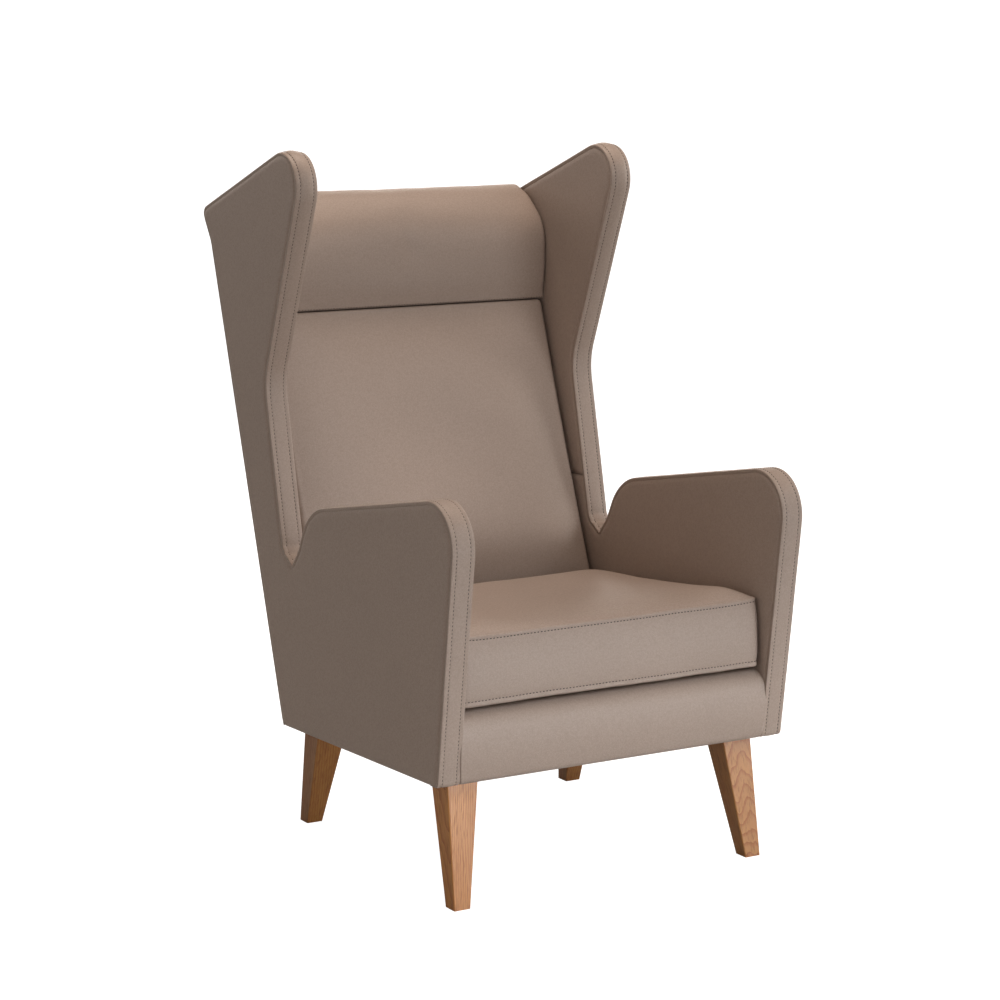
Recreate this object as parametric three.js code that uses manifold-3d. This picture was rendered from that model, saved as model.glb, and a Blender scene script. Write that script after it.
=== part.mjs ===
// A high-back wing lounge chair in faux leather on four oak legs, in millimetres.
// +X is to the right as the chair is seen from the front, -Y is the front and +Z is up.
// The origin is on the floor, under the middle of the chair.
import * as THREE from "three";
import { mergeVertices } from "three/addons/utils/BufferGeometryUtils.js";
import Module from "manifold-3d";

const wasm = await Module();
wasm.setup();

// Overall width, and the padded thickness of each side.
const outerWidth = 700;
const sideThickness = 44;

// The side's profile. "Back" is measured from the foot of the arm's front edge, heights from the floor.
// Each is a corner of the straight edges, before it is rounded.
const footHeight = 219;
const footRadius = 10;
const armLean = 66;
const armFrontHeight = 717;
const armFrontRadius = 76;
const armRearBack = 474;
const armRearHeight = 617;
const armRearRadius = 115;
const notchBack = 549;
const notchHeight = 462;
const notchRadius = 24;
const waistBack = 643;
const waistHeight = 825;
const waistRadius = 115;
const wingTipBack = 457;
const wingTipHeight = 1286;
const wingTipRadius = 62;
const crownBack = 905;
const crownHeight = 1126;
const crownRadius = 8;
const napeBack = 872;
const napeHeight = 1066;
const napeRadius = 60;
const heelBack = 589;
const heelHeight = 196;
const heelRadius = 8;

// Sheet goods and the gaps between layers that touch.
const clearance = 0.3;
const coverThickness = 1.6;
const plyThickness = 18;
const edgeFoamThickness = 10;
const hemWidth = 15;
const dustClothThickness = 0.8;

// The inner side covers: where the wing piece is sewn to the arm piece.
const coverSeamHeight = 606;

// The back. Its layers are counted from the outer back cover forwards.
const backPaddingThickness = 4;
const backBoardThickness = 3;
const backBoardLength = 905;
const uprightWidth = 30;
const uprightDepth = 32;
const uprightTop = 905;
const topRailHeight = 60;
const lumbarRailStart = 470;
const lumbarRailHeight = 40;
const lumbarRailDepth = 18;
const webbingThickness = 2;
const webbingWidth = 50;
const strapGrip = 12;
const backStrapCount = 3;
const firstBackStrap = 260;
const backStrapPitch = 185;

// The inner back: length and thickness of its padding, and how it crowns.
const innerBackStart = 185;
const innerBackEnd = 742;
const innerBackSideGap = 1;
const lumbarThickness = 64;
const shoulderThickness = 38;
const innerBackCrown = 12;
const innerBackDraw = 3;
const innerBackCornerRadius = 16;
const innerBackEdgeRoll = 13;

// The head roll, as corners of its section up the back and forward from the back's outer face.
const rollSeamAlong = 750;
const rollSeamDepth = 80;
const rollChinAlong = 772;
const rollChinDepth = 108;
const rollChinRadius = 70;
const rollBrowAlong = 905;
const rollBrowDepth = 141;
const rollBrowRadius = 80;
const rollTopAlong = 1003;
const rollTopDepth = 62;
const rollTopRadius = 38;
const rollSideGap = 1;
const rollEndRounding = 24;
const rollUndersideShare = 0.3;
const rollEndSteps = 3;

// The seat: height of the deck's front over the side's foot, its pitch, and the layers under the cushion.
const seatBoxHeight = 125;
const seatPitchDegrees = 4;
const deckClothThickness = 0.8;
const deckPadThickness = 12;
const deckLength = 566;
const lipLength = 62;
const borderFoamThickness = 12;
const borderLean = 3;
const borderRadius = 14;
const borderUnderlap = 26;
const borderSideGap = 0.6;
const railThickness = 22;
const sideRailShare = 0.34;
const sideRailThickness = 25;
const rearRailHeight = 38;
const seatStrapCount = 5;
const firstSeatStrap = 74;
const seatStrapPitch = 100;

// The loose seat cushion.
const cushionSideGap = 2;
const cushionFrontSetback = 3;
const cushionDepth = 519;
const cushionBorderHeight = 120;
const cushionCrown = 28;
const cushionDraw = 5;
const cushionCornerRadius = 20;
const cushionEdgeRoll = 13;
const cushionBulge = 3;
const welt = 2;
const zipLength = 420;
const zipHeight = 9;
const sliderLength = 16;
const sliderHeight = 8;
const sliderThickness = 4;
const sliderParking = 12;

// The legs: square, tapered and splayed, each on a corner block and a hanger bolt.
const legTopWidth = 60;
const legTopDepth = 58;
const legFootWidth = 31.5;
const legFootDepth = 31;
const legChamfer = 1.5;
const frontLegTopBack = 67.5;
const frontLegTopInset = 70;
const frontLegSplayForward = 44.3;
const frontLegSplayOut = 18.5;
const rearLegTopSetback = 30;
const rearLegTopInset = 76.5;
const rearLegSplayBack = 50;
const rearLegSplayOut = 9.8;
const blockWidth = 88;
const blockDepth = 66;
const blockShare = 0.32;
const boltRadius = 4;
const boltReach = 32;

// A cushion's section from its border in to its middle. The edges are in shares of the edge roll, and the
// crown is drawn at these shares of the way out from the middle.
const baseEdgeShares = [
  { inward: 0.8, up: 0 },
  { inward: 0.2, up: 0.15 },
  { inward: 0, up: 0.5 },
];
const topEdgeShares = [
  { inward: 0, down: 0.5 },
  { inward: 0.25, down: 0.12 },
  { inward: 0.9, down: 0 },
];
const crownShares = [0.93, 0.8, 0.6, 0.35];

// How finely curves are drawn, and how far a cutting solid runs past what it cuts.
const arcStepDegrees = 12;
const boltSides = 12;
const overrun = 5;
const crownPower = 3.6;
const cornerSteps = 3;
const sideSteps = 5;

// Finishes.
function finish(color, roughness, metalness = 0) {
  return new THREE.MeshStandardMaterial({ color, roughness, metalness });
}
const vinyl = finish(0x9d8878, 0.48);
const oak = finish(0xc68e57, 0.5);
const beech = finish(0xd9b78c, 0.65);
const plywood = finish(0xcfae80, 0.7);
const foam = finish(0xe8e2c8, 0.95);
const wadding = finish(0xf1f0ea, 1);
const webbing = finish(0x3b3a38, 0.9);
const blackCloth = finish(0x1f1e1e, 0.95);
const hardboard = finish(0x8a6443, 0.8);
const zincPlate = finish(0xb9bcbf, 0.35, 1);
const zipTape = finish(0x6f6055, 0.8);

// Lengths that follow from the sizes above.
const outerFace = outerWidth / 2;
const deckFrontHeight = footHeight + seatBoxHeight;
const sideRailHeight = seatBoxHeight * sideRailShare;
const blockHeight = seatBoxHeight * blockShare;
const frontLegTopOut = outerFace - frontLegTopInset;
const rearLegTopOut = outerFace - rearLegTopInset;
const rearLegTopBack = heelBack - rearLegTopSetback;
const innerFace = outerFace - sideThickness;
const coverStep = coverThickness + clearance;
const sideFoam = (sideThickness - plyThickness) / 2 - coverStep - clearance;
const plyOuter = outerFace - coverStep - sideFoam - clearance;
const plyInner = plyOuter - plyThickness;
const betweenPly = plyInner - clearance;
const betweenCovers = innerFace - clearance;
const plyInset = coverStep + edgeFoamThickness + clearance;
const boardFace = coverStep + backPaddingThickness + clearance;
const borderFoamBack = coverStep + borderFoamThickness + clearance;
const railFront = borderFoamBack + clearance;
const railBack = railFront + railThickness;
const frameFace = boardFace + backBoardThickness + clearance;
const frameFront = frameFace + uprightDepth;
const webbingFace = frameFront + clearance + webbingThickness + clearance;
const deckStack = deckClothThickness + deckPadThickness + webbingThickness + clearance * 3;
const seatPitch = THREE.MathUtils.degToRad(seatPitchDegrees);
const bottomRise = (heelHeight - footHeight) / heelBack;

// A corner of an outline in the plane of the side: back from the arm's foot, up from the floor.
const corner = (back, up, radius = 0) => ({ back, up, radius });

// The direction of travel from one corner to the next.
function direction(from, to) {
  const length = Math.hypot(to.back - from.back, to.up - from.up);
  return { back: (to.back - from.back) / length, up: (to.up - from.up) / length };
}

// Where the line through a meets the line through b.
function meet(a, alongA, b, alongB) {
  const cross = alongA.back * alongB.up - alongA.up * alongB.back;
  const reach = ((b.back - a.back) * alongB.up - (b.up - a.up) * alongB.back) / cross;
  return corner(a.back + alongA.back * reach, a.up + alongA.up * reach);
}

// Moves each edge of a clockwise outline inwards by its own distance. Edge i leaves corner i.
function insetOutline(corners, insets) {
  const edges = corners.map((start, i) => {
    const along = direction(start, corners[(i + 1) % corners.length]);
    const moved = corner(start.back + along.up * insets[i], start.up - along.back * insets[i]);
    return { along, moved };
  });
  return corners.map((start, i) => {
    const before = (i + corners.length - 1) % corners.length;
    const last = edges[before];
    const next = edges[i];
    const met = meet(last.moved, last.along, next.moved, next.along);
    const turn = last.along.back * next.along.up - last.along.up * next.along.back;
    const inset = Math.max(insets[before], insets[i]);
    const open = inset >= 0 && Math.min(insets[before], insets[i]) < 0;
    const radius = start.radius && !open ? Math.max(start.radius - Math.sign(-turn) * inset, 0) : 0;
    return corner(met.back, met.up, radius);
  });
}

// Draws an outline's corners as arcs and gives its points.
function roundedPoints(corners) {
  const points = [];
  corners.forEach((here, i) => {
    const from = direction(corners[(i + corners.length - 1) % corners.length], here);
    const to = direction(here, corners[(i + 1) % corners.length]);
    const turn = Math.atan2(from.back * to.up - from.up * to.back, from.back * to.back + from.up * to.up);
    if (!here.radius) {
      points.push(new THREE.Vector2(here.back, here.up));
      return;
    }
    const tangent = here.radius * Math.tan(Math.abs(turn) / 2);
    const side = Math.sign(turn);
    const start = new THREE.Vector2(here.back - from.back * tangent, here.up - from.up * tangent);
    const centre = new THREE.Vector2(
      start.x - from.up * here.radius * side,
      start.y + from.back * here.radius * side,
    );
    const steps = Math.ceil(Math.abs(THREE.MathUtils.radToDeg(turn)) / arcStepDegrees);
    for (let step = 0; step <= steps; step++) {
      points.push(start.clone().rotateAround(centre, (turn * step) / steps));
    }
  });
  return points;
}

// A board cut to an outline in the plane of the side, from one X to another.
const outlineToWorld = new THREE.Matrix4().makeBasis(
  new THREE.Vector3(0, 1, 0),
  new THREE.Vector3(0, 0, 1),
  new THREE.Vector3(1, 0, 0),
);

function plate(corners, from, to) {
  const shape = new THREE.Shape(roundedPoints(corners));
  const geometry = new THREE.ExtrudeGeometry(shape, { depth: to - from, bevelEnabled: false });
  return geometry.applyMatrix4(outlineToWorld).translate(from, 0, 0);
}

// A plate on the right-hand or left-hand side: side is 1 or -1.
function sidePlate(corners, side, inner, outer) {
  return plate(corners, Math.min(side * inner, side * outer), Math.max(side * inner, side * outer));
}

// A box given by its lowest and highest corners.
function block(low, high) {
  const size = high.map((value, i) => value - low[i]);
  const middle = high.map((value, i) => (value + low[i]) / 2);
  return new THREE.BoxGeometry(...size).translate(...middle);
}

// Closed solids for cutting and joining.
function solidOf(geometry) {
  const bare = geometry.clone();
  bare.deleteAttribute("normal");
  bare.deleteAttribute("uv");
  const merged = mergeVertices(bare);
  const vertProperties = merged.attributes.position.array;
  const triVerts = new Uint32Array(merged.index.array);
  return new wasm.Manifold(new wasm.Mesh({ numProp: 3, vertProperties, triVerts }));
}

function geometryOf(solid) {
  const mesh = solid.getMesh();
  const geometry = new THREE.BufferGeometry();
  geometry.setAttribute("position", new THREE.BufferAttribute(mesh.vertProperties, 3));
  geometry.setIndex(new THREE.BufferAttribute(mesh.triVerts, 1));
  geometry.computeVertexNormals();
  return geometry;
}

const cut = (body, ...tools) =>
  geometryOf(tools.reduce((left, tool) => left.subtract(solidOf(tool)), solidOf(body)));
const join = (body, ...others) =>
  geometryOf(others.reduce((left, other) => left.add(solidOf(other)), solidOf(body)));

// A closed body through rings of points that run anticlockwise as the next ring's side sees them.
function loft(rings) {
  const count = rings[0].length;
  const points = rings.flat();
  const faces = [];
  const total = (ring) => ring.reduce((sum, point) => sum.add(point), new THREE.Vector3());
  const middle = (ring) => total(ring).divideScalar(count);
  const first = points.push(middle(rings[0])) - 1;
  const last = points.push(middle(rings.at(-1))) - 1;
  const lastRing = (rings.length - 1) * count;
  for (let i = 0; i < count; i++) {
    const next = (i + 1) % count;
    faces.push(first, next, i, last, lastRing + i, lastRing + next);
    for (let ring = 0; ring < rings.length - 1; ring++) {
      const low = ring * count;
      const high = low + count;
      faces.push(low + i, low + next, high + next, low + i, high + next, high + i);
    }
  }
  return new THREE.BufferGeometry().setFromPoints(points).setIndex(faces);
}

function piece(name, geometry, material) {
  const mesh = new THREE.Mesh(geometry, material);
  mesh.name = name;
  return mesh;
}

// The side's profile and the lines that the other pieces follow.
const sideCorners = [
  corner(0, footHeight, footRadius),
  corner(-armLean, armFrontHeight, armFrontRadius),
  corner(armRearBack, armRearHeight, armRearRadius),
  corner(notchBack, notchHeight, notchRadius),
  corner(waistBack, waistHeight, waistRadius),
  corner(wingTipBack, wingTipHeight, wingTipRadius),
  corner(crownBack, crownHeight, crownRadius),
  corner(napeBack, napeHeight, napeRadius),
  corner(heelBack, heelHeight, heelRadius),
];
const bandedEdges = 6;
const [foot, armFront, armRear, notch, waist, wingTip, crown, nape, heel] = sideCorners;
const backAlong = direction(heel, nape);

const bottomHeight = (back) => footHeight + back * bottomRise;
const deckHeight = (back) => deckFrontHeight - back * Math.tan(seatPitch);
const railTopHeight = (back) => deckHeight(back) - deckStack / Math.cos(seatPitch);

// A point of the back: up its outer face from the heel, and forward from that face.
function backPoint(along, depth, radius = 0) {
  return corner(
    heelBack + backAlong.back * along - backAlong.up * depth,
    heelHeight + backAlong.up * along + backAlong.back * depth,
    radius,
  );
}

const deckAlong = direction(corner(0, railTopHeight(0)), corner(heelBack, railTopHeight(heelBack)));
const level = { back: 1, up: 0 };

// Where a layer of the back meets the plane that lies this far below the tops of the seat's rails.
function underDeck(depth, below) {
  return meet(backPoint(0, depth), backAlong, corner(0, railTopHeight(0) - below), deckAlong);
}

const tuckFoot = backPoint(0, frameFront + clearance);

// The whole side with its banded edges, rear edges and bottom edge each moved in.
function sideOutline(edge, rear, bottom) {
  return insetOutline(sideCorners, [...Array(bandedEdges).fill(edge), rear, rear, bottom]);
}

// The part of the side that shows inside: it stops at the back's frame and at the seat's rails.
function innerOutlines(edge) {
  const top = meet(wingTip, direction(wingTip, crown), tuckFoot, backAlong);
  const tuck = meet(tuckFoot, backAlong, corner(0, railTopHeight(0) + clearance), deckAlong);
  const ledge = corner(borderFoamBack, railTopHeight(borderFoamBack) + clearance);
  const base = corner(borderFoamBack, bottomHeight(borderFoamBack));
  const seamHeight = corner(0, coverSeamHeight);
  const seamFront = meet(notch, direction(notch, waist), seamHeight, level);
  const seamBack = meet(tuckFoot, backAlong, seamHeight, level);
  const half = clearance / 2;
  return {
    whole: insetOutline(
      [foot, armFront, armRear, notch, waist, wingTip, top, tuck, ledge, base],
      [...Array(bandedEdges).fill(edge), 0, 0, 0, coverStep],
    ),
    arm: insetOutline(
      [foot, armFront, armRear, notch, seamFront, seamBack, tuck, ledge, base],
      [edge, edge, edge, edge, half, 0, 0, 0, coverStep],
    ),
    wing: insetOutline([seamFront, waist, wingTip, top, seamBack], [edge, edge, edge, 0, half]),
  };
}

// One upholstered side: plywood, foam on both faces and round the edge, three covers and the edge band.
function buildSide(side, label) {
  const group = new THREE.Group();
  const middle = (plyOuter + plyInner) / 2;
  const foamOuterFace = outerFace - coverStep;
  const foamOutline = sideOutline(coverStep, coverStep, coverStep);
  const foamInnerFace = innerFace + coverStep;
  const foamPlies = (plyOuter + clearance + foamOuterFace) / 2;
  const foamBacks = (plyInner - clearance + foamInnerFace) / 2;
  const insideOfRim = sideOutline(coverStep + edgeFoamThickness, -overrun, -overrun);

  const straightTop = meet(backPoint(0, 0), backAlong, wingTip, direction(wingTip, crown));
  const boardOutline = insetOutline(
    [foot, armFront, armRear, notch, waist, wingTip, straightTop, heel],
    [...Array(bandedEdges).fill(plyInset), frameFace, coverStep],
  );
  group.add(piece(`side_frame_${label}`, sidePlate(boardOutline, side, plyInner, plyOuter), plywood));

  const outerRim = cut(
    sidePlate(foamOutline, side, middle + clearance / 2, foamPlies),
    sidePlate(insideOfRim, side, middle - overrun, foamPlies + overrun),
  );
  const outerSheet = sidePlate(foamOutline, side, plyOuter + clearance, foamOuterFace);
  group.add(piece(`outer_foam_${label}`, join(outerSheet, outerRim), foam));

  const inner = innerOutlines(coverStep).whole;
  const innerRim = cut(
    sidePlate(inner, side, foamBacks, middle - clearance / 2),
    sidePlate(insideOfRim, side, foamBacks - overrun, middle + overrun),
  );
  const innerSheet = sidePlate(inner, side, foamInnerFace, plyInner - clearance);
  group.add(piece(`inner_foam_${label}`, join(innerSheet, innerRim), foam));

  const coverOutline = sideOutline(coverStep, coverStep, 0);
  const hemEnd = outerFace - hemWidth;
  const hem = cut(
    sidePlate(coverOutline, side, hemEnd, outerFace - coverThickness / 2),
    sidePlate(sideOutline(-overrun, -overrun, coverThickness), side, hemEnd - overrun, outerFace),
  );
  const outerSkin = sidePlate(coverOutline, side, outerFace - coverThickness, outerFace);
  group.add(piece(`outer_cover_${label}`, join(outerSkin, hem), vinyl));

  const covers = innerOutlines(coverStep);
  const inside = (outline) => sidePlate(outline, side, innerFace, innerFace + coverThickness);
  group.add(piece(`inner_arm_cover_${label}`, inside(covers.arm), vinyl));
  group.add(piece(`inner_wing_cover_${label}`, inside(covers.wing), vinyl));

  const insideOfBand = sideOutline(coverThickness, -overrun, -overrun);
  const band = cut(
    sidePlate(sideOutline(0, coverStep, 0), side, innerFace, outerFace),
    sidePlate(insideOfBand, side, innerFace - overrun, outerFace + overrun),
  );
  group.add(piece(`edge_band_${label}`, band, vinyl));
  return group;
}

// The seat box: rails between the plywood sides, and the padded border across the front.
function buildSeatBox() {
  const group = new THREE.Group();
  const railBottom = (back) => bottomHeight(back) + coverStep;

  const frontRail = [
    corner(railFront, railBottom(railFront)),
    corner(railFront, railTopHeight(railFront)),
    corner(railBack, railTopHeight(railBack)),
    corner(railBack, railBottom(railBack)),
  ];
  group.add(piece("front_rail", plate(frontRail, -betweenPly, betweenPly), beech));

  const rearTop = underDeck(frameFace, 0);
  const rearFrontTop = underDeck(frameFace + railThickness, 0);
  const drop = (from) => ({
    back: from.back - backAlong.back * rearRailHeight,
    up: from.up - backAlong.up * rearRailHeight,
  });
  const rearRail = [drop(rearFrontTop), rearFrontTop, rearTop, drop(rearTop)];
  group.add(piece("rear_rail", plate(rearRail, -betweenPly, betweenPly), beech));

  const start = railBack + clearance;
  const rearFace = underDeck(frameFace + railThickness + clearance, sideRailHeight);
  const sideRail = [
    corner(start, railTopHeight(start) - sideRailHeight),
    corner(start, railTopHeight(start)),
    corner(rearFace.back, railTopHeight(rearFace.back)),
    corner(rearFace.back, railTopHeight(rearFace.back) - sideRailHeight),
  ];
  for (const [side, label] of [[-1, "left"], [1, "right"]]) {
    const rail = sidePlate(sideRail, side, betweenPly - sideRailThickness, betweenPly);
    group.add(piece(`side_rail_${label}`, rail, beech));
  }

  const borderWidth = innerFace - borderSideGap;
  const border = [
    corner(0, bottomHeight(0), borderRadius),
    corner(-borderLean, deckHeight(-borderLean), borderRadius),
    corner(lipLength, deckHeight(lipLength)),
    corner(borderUnderlap, bottomHeight(borderUnderlap)),
  ];
  const insideOfBorder = insetOutline(border, [coverThickness, coverThickness, -overrun, coverThickness]);
  const borderSkin = cut(
    plate(insetOutline(border, [0, 0, 0, 0]), -borderWidth, borderWidth),
    plate(insideOfBorder, -outerFace, outerFace),
  );
  group.add(piece("front_border_cover", borderSkin, vinyl));

  const padTop = (back) => deckHeight(back) - coverStep;
  const padFloor = (back) => railTopHeight(back) + clearance;
  const borderPad = [
    corner(coverStep, bottomHeight(coverStep) + coverStep, borderRadius - coverStep),
    corner(coverStep - borderLean, padTop(-borderLean), borderRadius - coverStep),
    corner(lipLength, padTop(lipLength)),
    corner(lipLength, padFloor(lipLength)),
    corner(borderFoamBack, padFloor(borderFoamBack)),
    corner(borderFoamBack, bottomHeight(borderFoamBack) + coverStep),
  ];
  group.add(piece("front_border_foam", plate(borderPad, -borderWidth, borderWidth), foam));
  return group;
}

// The deck that carries the cushion, in the seat's own frame: +Y runs down the pitch, +Z is square to it.
function buildDeck() {
  const group = new THREE.Group();
  const deckHalf = innerFace - borderSideGap;
  const deckStart = (lipLength + deckStack * Math.sin(seatPitch)) / Math.cos(seatPitch) + clearance;
  let top = 0;
  const layer = (name, thickness, material) => {
    const low = [-deckHalf, deckStart, top - thickness];
    group.add(piece(name, block(low, [deckHalf, deckLength, top]), material));
    top -= thickness + clearance;
  };
  layer("deck_cloth", deckClothThickness, blackCloth);
  layer("deck_pad", deckPadThickness, foam);
  for (let i = 0; i < seatStrapCount; i++) {
    const start = firstSeatStrap + i * seatStrapPitch;
    const strap = block([-deckHalf, start, top - webbingThickness], [deckHalf, start + webbingWidth, top]);
    group.add(piece(`seat_strap_${i + 1}`, strap, webbing));
  }
  group.position.z = deckFrontHeight;
  group.rotation.x = -seatPitch;
  return group;
}

// A padded body on a flat base: drawn-in sides, a rolled edge and a crowned top.
function cushionBody(size, shrink, base) {
  const halfWidth = size.width / 2 - shrink;
  const halfDepth = size.depth / 2 - shrink;
  const radius = size.cornerRadius - shrink;
  const ringAt = (inset, share, up) => {
    const points = [];
    for (let quarter = 0; quarter < 4; quarter++) {
      const turn = (quarter * Math.PI) / 2;
      const signX = quarter === 0 || quarter === 3 ? 1 : -1;
      const signY = quarter < 2 ? 1 : -1;
      const centre = new THREE.Vector2(signX * (halfWidth - radius), signY * (halfDepth - radius));
      for (let step = 0; step <= cornerSteps; step++) {
        const angle = turn + (step / cornerSteps) * (Math.PI / 2);
        const reach = new THREE.Vector2(Math.cos(angle), Math.sin(angle)).multiplyScalar(radius - inset);
        points.push(reach.add(centre));
      }
      const start = points.at(-1);
      const outward = new THREE.Vector2(-Math.sin(turn), Math.cos(turn));
      const run = quarter % 2 ? halfDepth - radius : halfWidth - radius;
      const along = new THREE.Vector2(-outward.y, outward.x);
      for (let step = 1; step < sideSteps; step++) {
        const part = step / sideSteps;
        const draw = size.draws[quarter] * Math.sin(part * Math.PI);
        points.push(start.clone().addScaledVector(along, 2 * run * part).addScaledVector(outward, -draw));
      }
    }
    return points.map((point) => {
      const part = (point.y / halfDepth + 1) / 2;
      const height = THREE.MathUtils.lerp(size.nearHeight, size.farHeight, part) - shrink;
      return new THREE.Vector3(point.x * share, point.y * share, up(height));
    });
  };
  const roll = size.edgeRoll;
  const flatTop = roll * topEdgeShares.at(-1).inward;
  const puff = (share) => (height) => height + size.crown * (1 - share ** crownPower);
  const bottom = size.boxed
    ? [
        ...baseEdgeShares.map((share) => ringAt(roll * share.inward, 1, () => base + roll * share.up)),
        ringAt(size.welt, 1, () => base + roll),
      ]
    : [ringAt(0, 1, () => base)];
  return loft([
    ...bottom,
    ringAt(-size.bulge, 1, (height) => (base + height) / 2),
    ringAt(size.welt, 1, (height) => height - roll),
    ...topEdgeShares.map((share) => ringAt(roll * share.inward, 1, (height) => height - roll * share.down)),
    ...crownShares.map((share) => ringAt(flatTop, share, puff(share))),
  ]);
}

// The loose seat cushion: a boxed cover with a zip across its back, and a foam core.
function buildCushion() {
  const group = new THREE.Group();
  const size = {
    width: (innerFace - cushionSideGap - cushionBulge) * 2,
    depth: cushionDepth,
    nearHeight: cushionBorderHeight,
    farHeight: cushionBorderHeight,
    cornerRadius: cushionCornerRadius,
    draws: [0, cushionDraw, cushionDraw, cushionDraw],
    edgeRoll: cushionEdgeRoll,
    bulge: cushionBulge,
    crown: cushionCrown,
    welt,
    boxed: true,
  };
  const rearFace = cushionDepth / 2 + cushionBulge;
  const zipMiddle = cushionBorderHeight / 2;
  const slot = block(
    [-zipLength / 2, rearFace - coverThickness - overrun, zipMiddle - zipHeight / 2],
    [zipLength / 2, rearFace + overrun, zipMiddle + zipHeight / 2],
  );
  const cover = cut(cushionBody(size, 0, 0), cushionBody(size, coverThickness, coverThickness), slot);
  group.add(piece("cushion_cover", cover, vinyl));
  group.add(piece("cushion_core", cushionBody(size, coverStep, coverStep), foam));
  const tapeFace = rearFace - clearance;
  const tapeReach = zipLength / 2 - clearance;
  const tapeRise = zipHeight / 2 - clearance;
  const tape = block(
    [-tapeReach, tapeFace - coverThickness + clearance, zipMiddle - tapeRise],
    [tapeReach, tapeFace, zipMiddle + tapeRise],
  );
  group.add(piece("cushion_zip", tape, zipTape));
  const sliderStart = -zipLength / 2 + sliderParking;
  const slider = block(
    [sliderStart, rearFace, zipMiddle - sliderHeight / 2],
    [sliderStart + sliderLength, rearFace + sliderThickness, zipMiddle + sliderHeight / 2],
  );
  group.add(piece("zip_slider", slider, zincPlate));
  group.position.y = cushionFrontSetback + cushionDepth / 2;
  group.position.z = clearance;
  const seat = new THREE.Group();
  seat.position.z = deckFrontHeight;
  seat.rotation.x = -seatPitch;
  seat.add(group);
  return seat;
}

// The back in its own frame: +Y runs up the outer face from the heel, +Z points forward from that face.
function buildBack() {
  const group = new THREE.Group();
  const rearRailTop = underDeck(frameFace, 0);
  const frameFoot = backPoint(0, frameFace);
  const railReach = Math.hypot(rearRailTop.back - frameFoot.back, rearRailTop.up - frameFoot.up);
  const frameStart = railReach + clearance;
  const innerEdge = betweenPly - uprightWidth;
  const railEdge = innerEdge - clearance;

  for (const [side, label] of [[-1, "left"], [1, "right"]]) {
    const ends = [side * innerEdge, side * betweenPly].sort((a, b) => a - b);
    const upright = block([ends[0], frameStart, frameFace], [ends[1], uprightTop, frameFront]);
    group.add(piece(`upright_${label}`, upright, beech));
  }
  const rail = (name, low, high, depth) =>
    group.add(piece(name, block([-railEdge, low, frameFace], [railEdge, high, frameFace + depth]), beech));
  rail("lower_back_rail", frameStart, innerBackStart + uprightDepth / 2, uprightDepth);
  rail("lumbar_rail", lumbarRailStart, lumbarRailStart + lumbarRailHeight, lumbarRailDepth);
  rail("top_rail", uprightTop - topRailHeight, uprightTop, uprightDepth);

  const strapEnd = innerEdge + strapGrip;
  for (let i = 0; i < backStrapCount; i++) {
    const start = firstBackStrap + i * backStrapPitch;
    const low = [-strapEnd, start, frameFront + clearance];
    const strap = block(low, [strapEnd, start + webbingWidth, frameFront + clearance + webbingThickness]);
    group.add(piece(`back_strap_${i + 1}`, strap, webbing));
  }

  const size = {
    width: (innerFace - innerBackSideGap) * 2,
    depth: innerBackEnd - innerBackStart,
    nearHeight: lumbarThickness,
    farHeight: shoulderThickness,
    cornerRadius: innerBackCornerRadius,
    draws: [innerBackDraw, innerBackDraw, innerBackDraw, innerBackDraw],
    edgeRoll: innerBackEdgeRoll,
    bulge: 0,
    crown: innerBackCrown,
    welt: 0,
    boxed: false,
  };
  const padding = new THREE.Group();
  const cover = cut(cushionBody(size, 0, 0), cushionBody(size, coverThickness, -overrun));
  padding.add(piece("inner_back_cover", cover, vinyl));
  padding.add(piece("back_foam", cushionBody(size, coverStep, 0), foam));
  padding.position.set(0, (innerBackStart + innerBackEnd) / 2, webbingFace);
  group.add(padding);

  group.position.set(0, heelBack, heelHeight);
  group.rotation.x = Math.atan2(backAlong.up, backAlong.back);
  return group;
}

// The head roll: a foam section with rounded ends over the top of the frame, in its own cover.
function rollBody(shrink, open) {
  const rollFoot = innerBackEnd + clearance * 2;
  const heelTop = meet(backPoint(0, boardFace), backAlong, wingTip, direction(wingTip, crown));
  const section = [
    backPoint(rollFoot, webbingFace),
    backPoint(rollSeamAlong, rollSeamDepth),
    backPoint(rollChinAlong, rollChinDepth, rollChinRadius),
    backPoint(rollBrowAlong, rollBrowDepth, rollBrowRadius),
    backPoint(rollTopAlong, rollTopDepth, rollTopRadius),
    heelTop,
    backPoint(uprightTop + clearance, boardFace),
    backPoint(uprightTop + clearance, webbingFace),
  ];
  const half = innerFace - rollSideGap - shrink;
  const ring = (x, rounding) => {
    const round = shrink + rounding;
    const under = shrink + rounding * rollUndersideShare;
    const outline = insetOutline(section, [shrink, under, round, round, round, -open, -open, -open]);
    return roundedPoints(outline).map((point) => new THREE.Vector3(x, point.x, point.y)).reverse();
  };
  const rings = [];
  for (let step = 0; step <= rollEndSteps; step++) {
    const angle = ((step / rollEndSteps) * Math.PI) / 2;
    const x = half - rollEndRounding * (1 - Math.cos(angle));
    const rounding = rollEndRounding * (1 - Math.sin(angle));
    rings.push({ x, rounding });
  }
  const left = rings.map(({ x, rounding }) => ring(-x, rounding));
  const right = rings.toReversed().map(({ x, rounding }) => ring(x, rounding));
  return loft([...left, ...right]);
}

function buildHeadRoll() {
  const group = new THREE.Group();
  group.add(piece("head_roll_cover", cut(rollBody(0, 0), rollBody(coverThickness, overrun)), vinyl));
  group.add(piece("head_roll_foam", rollBody(coverStep, 0), foam));
  return group;
}

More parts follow.
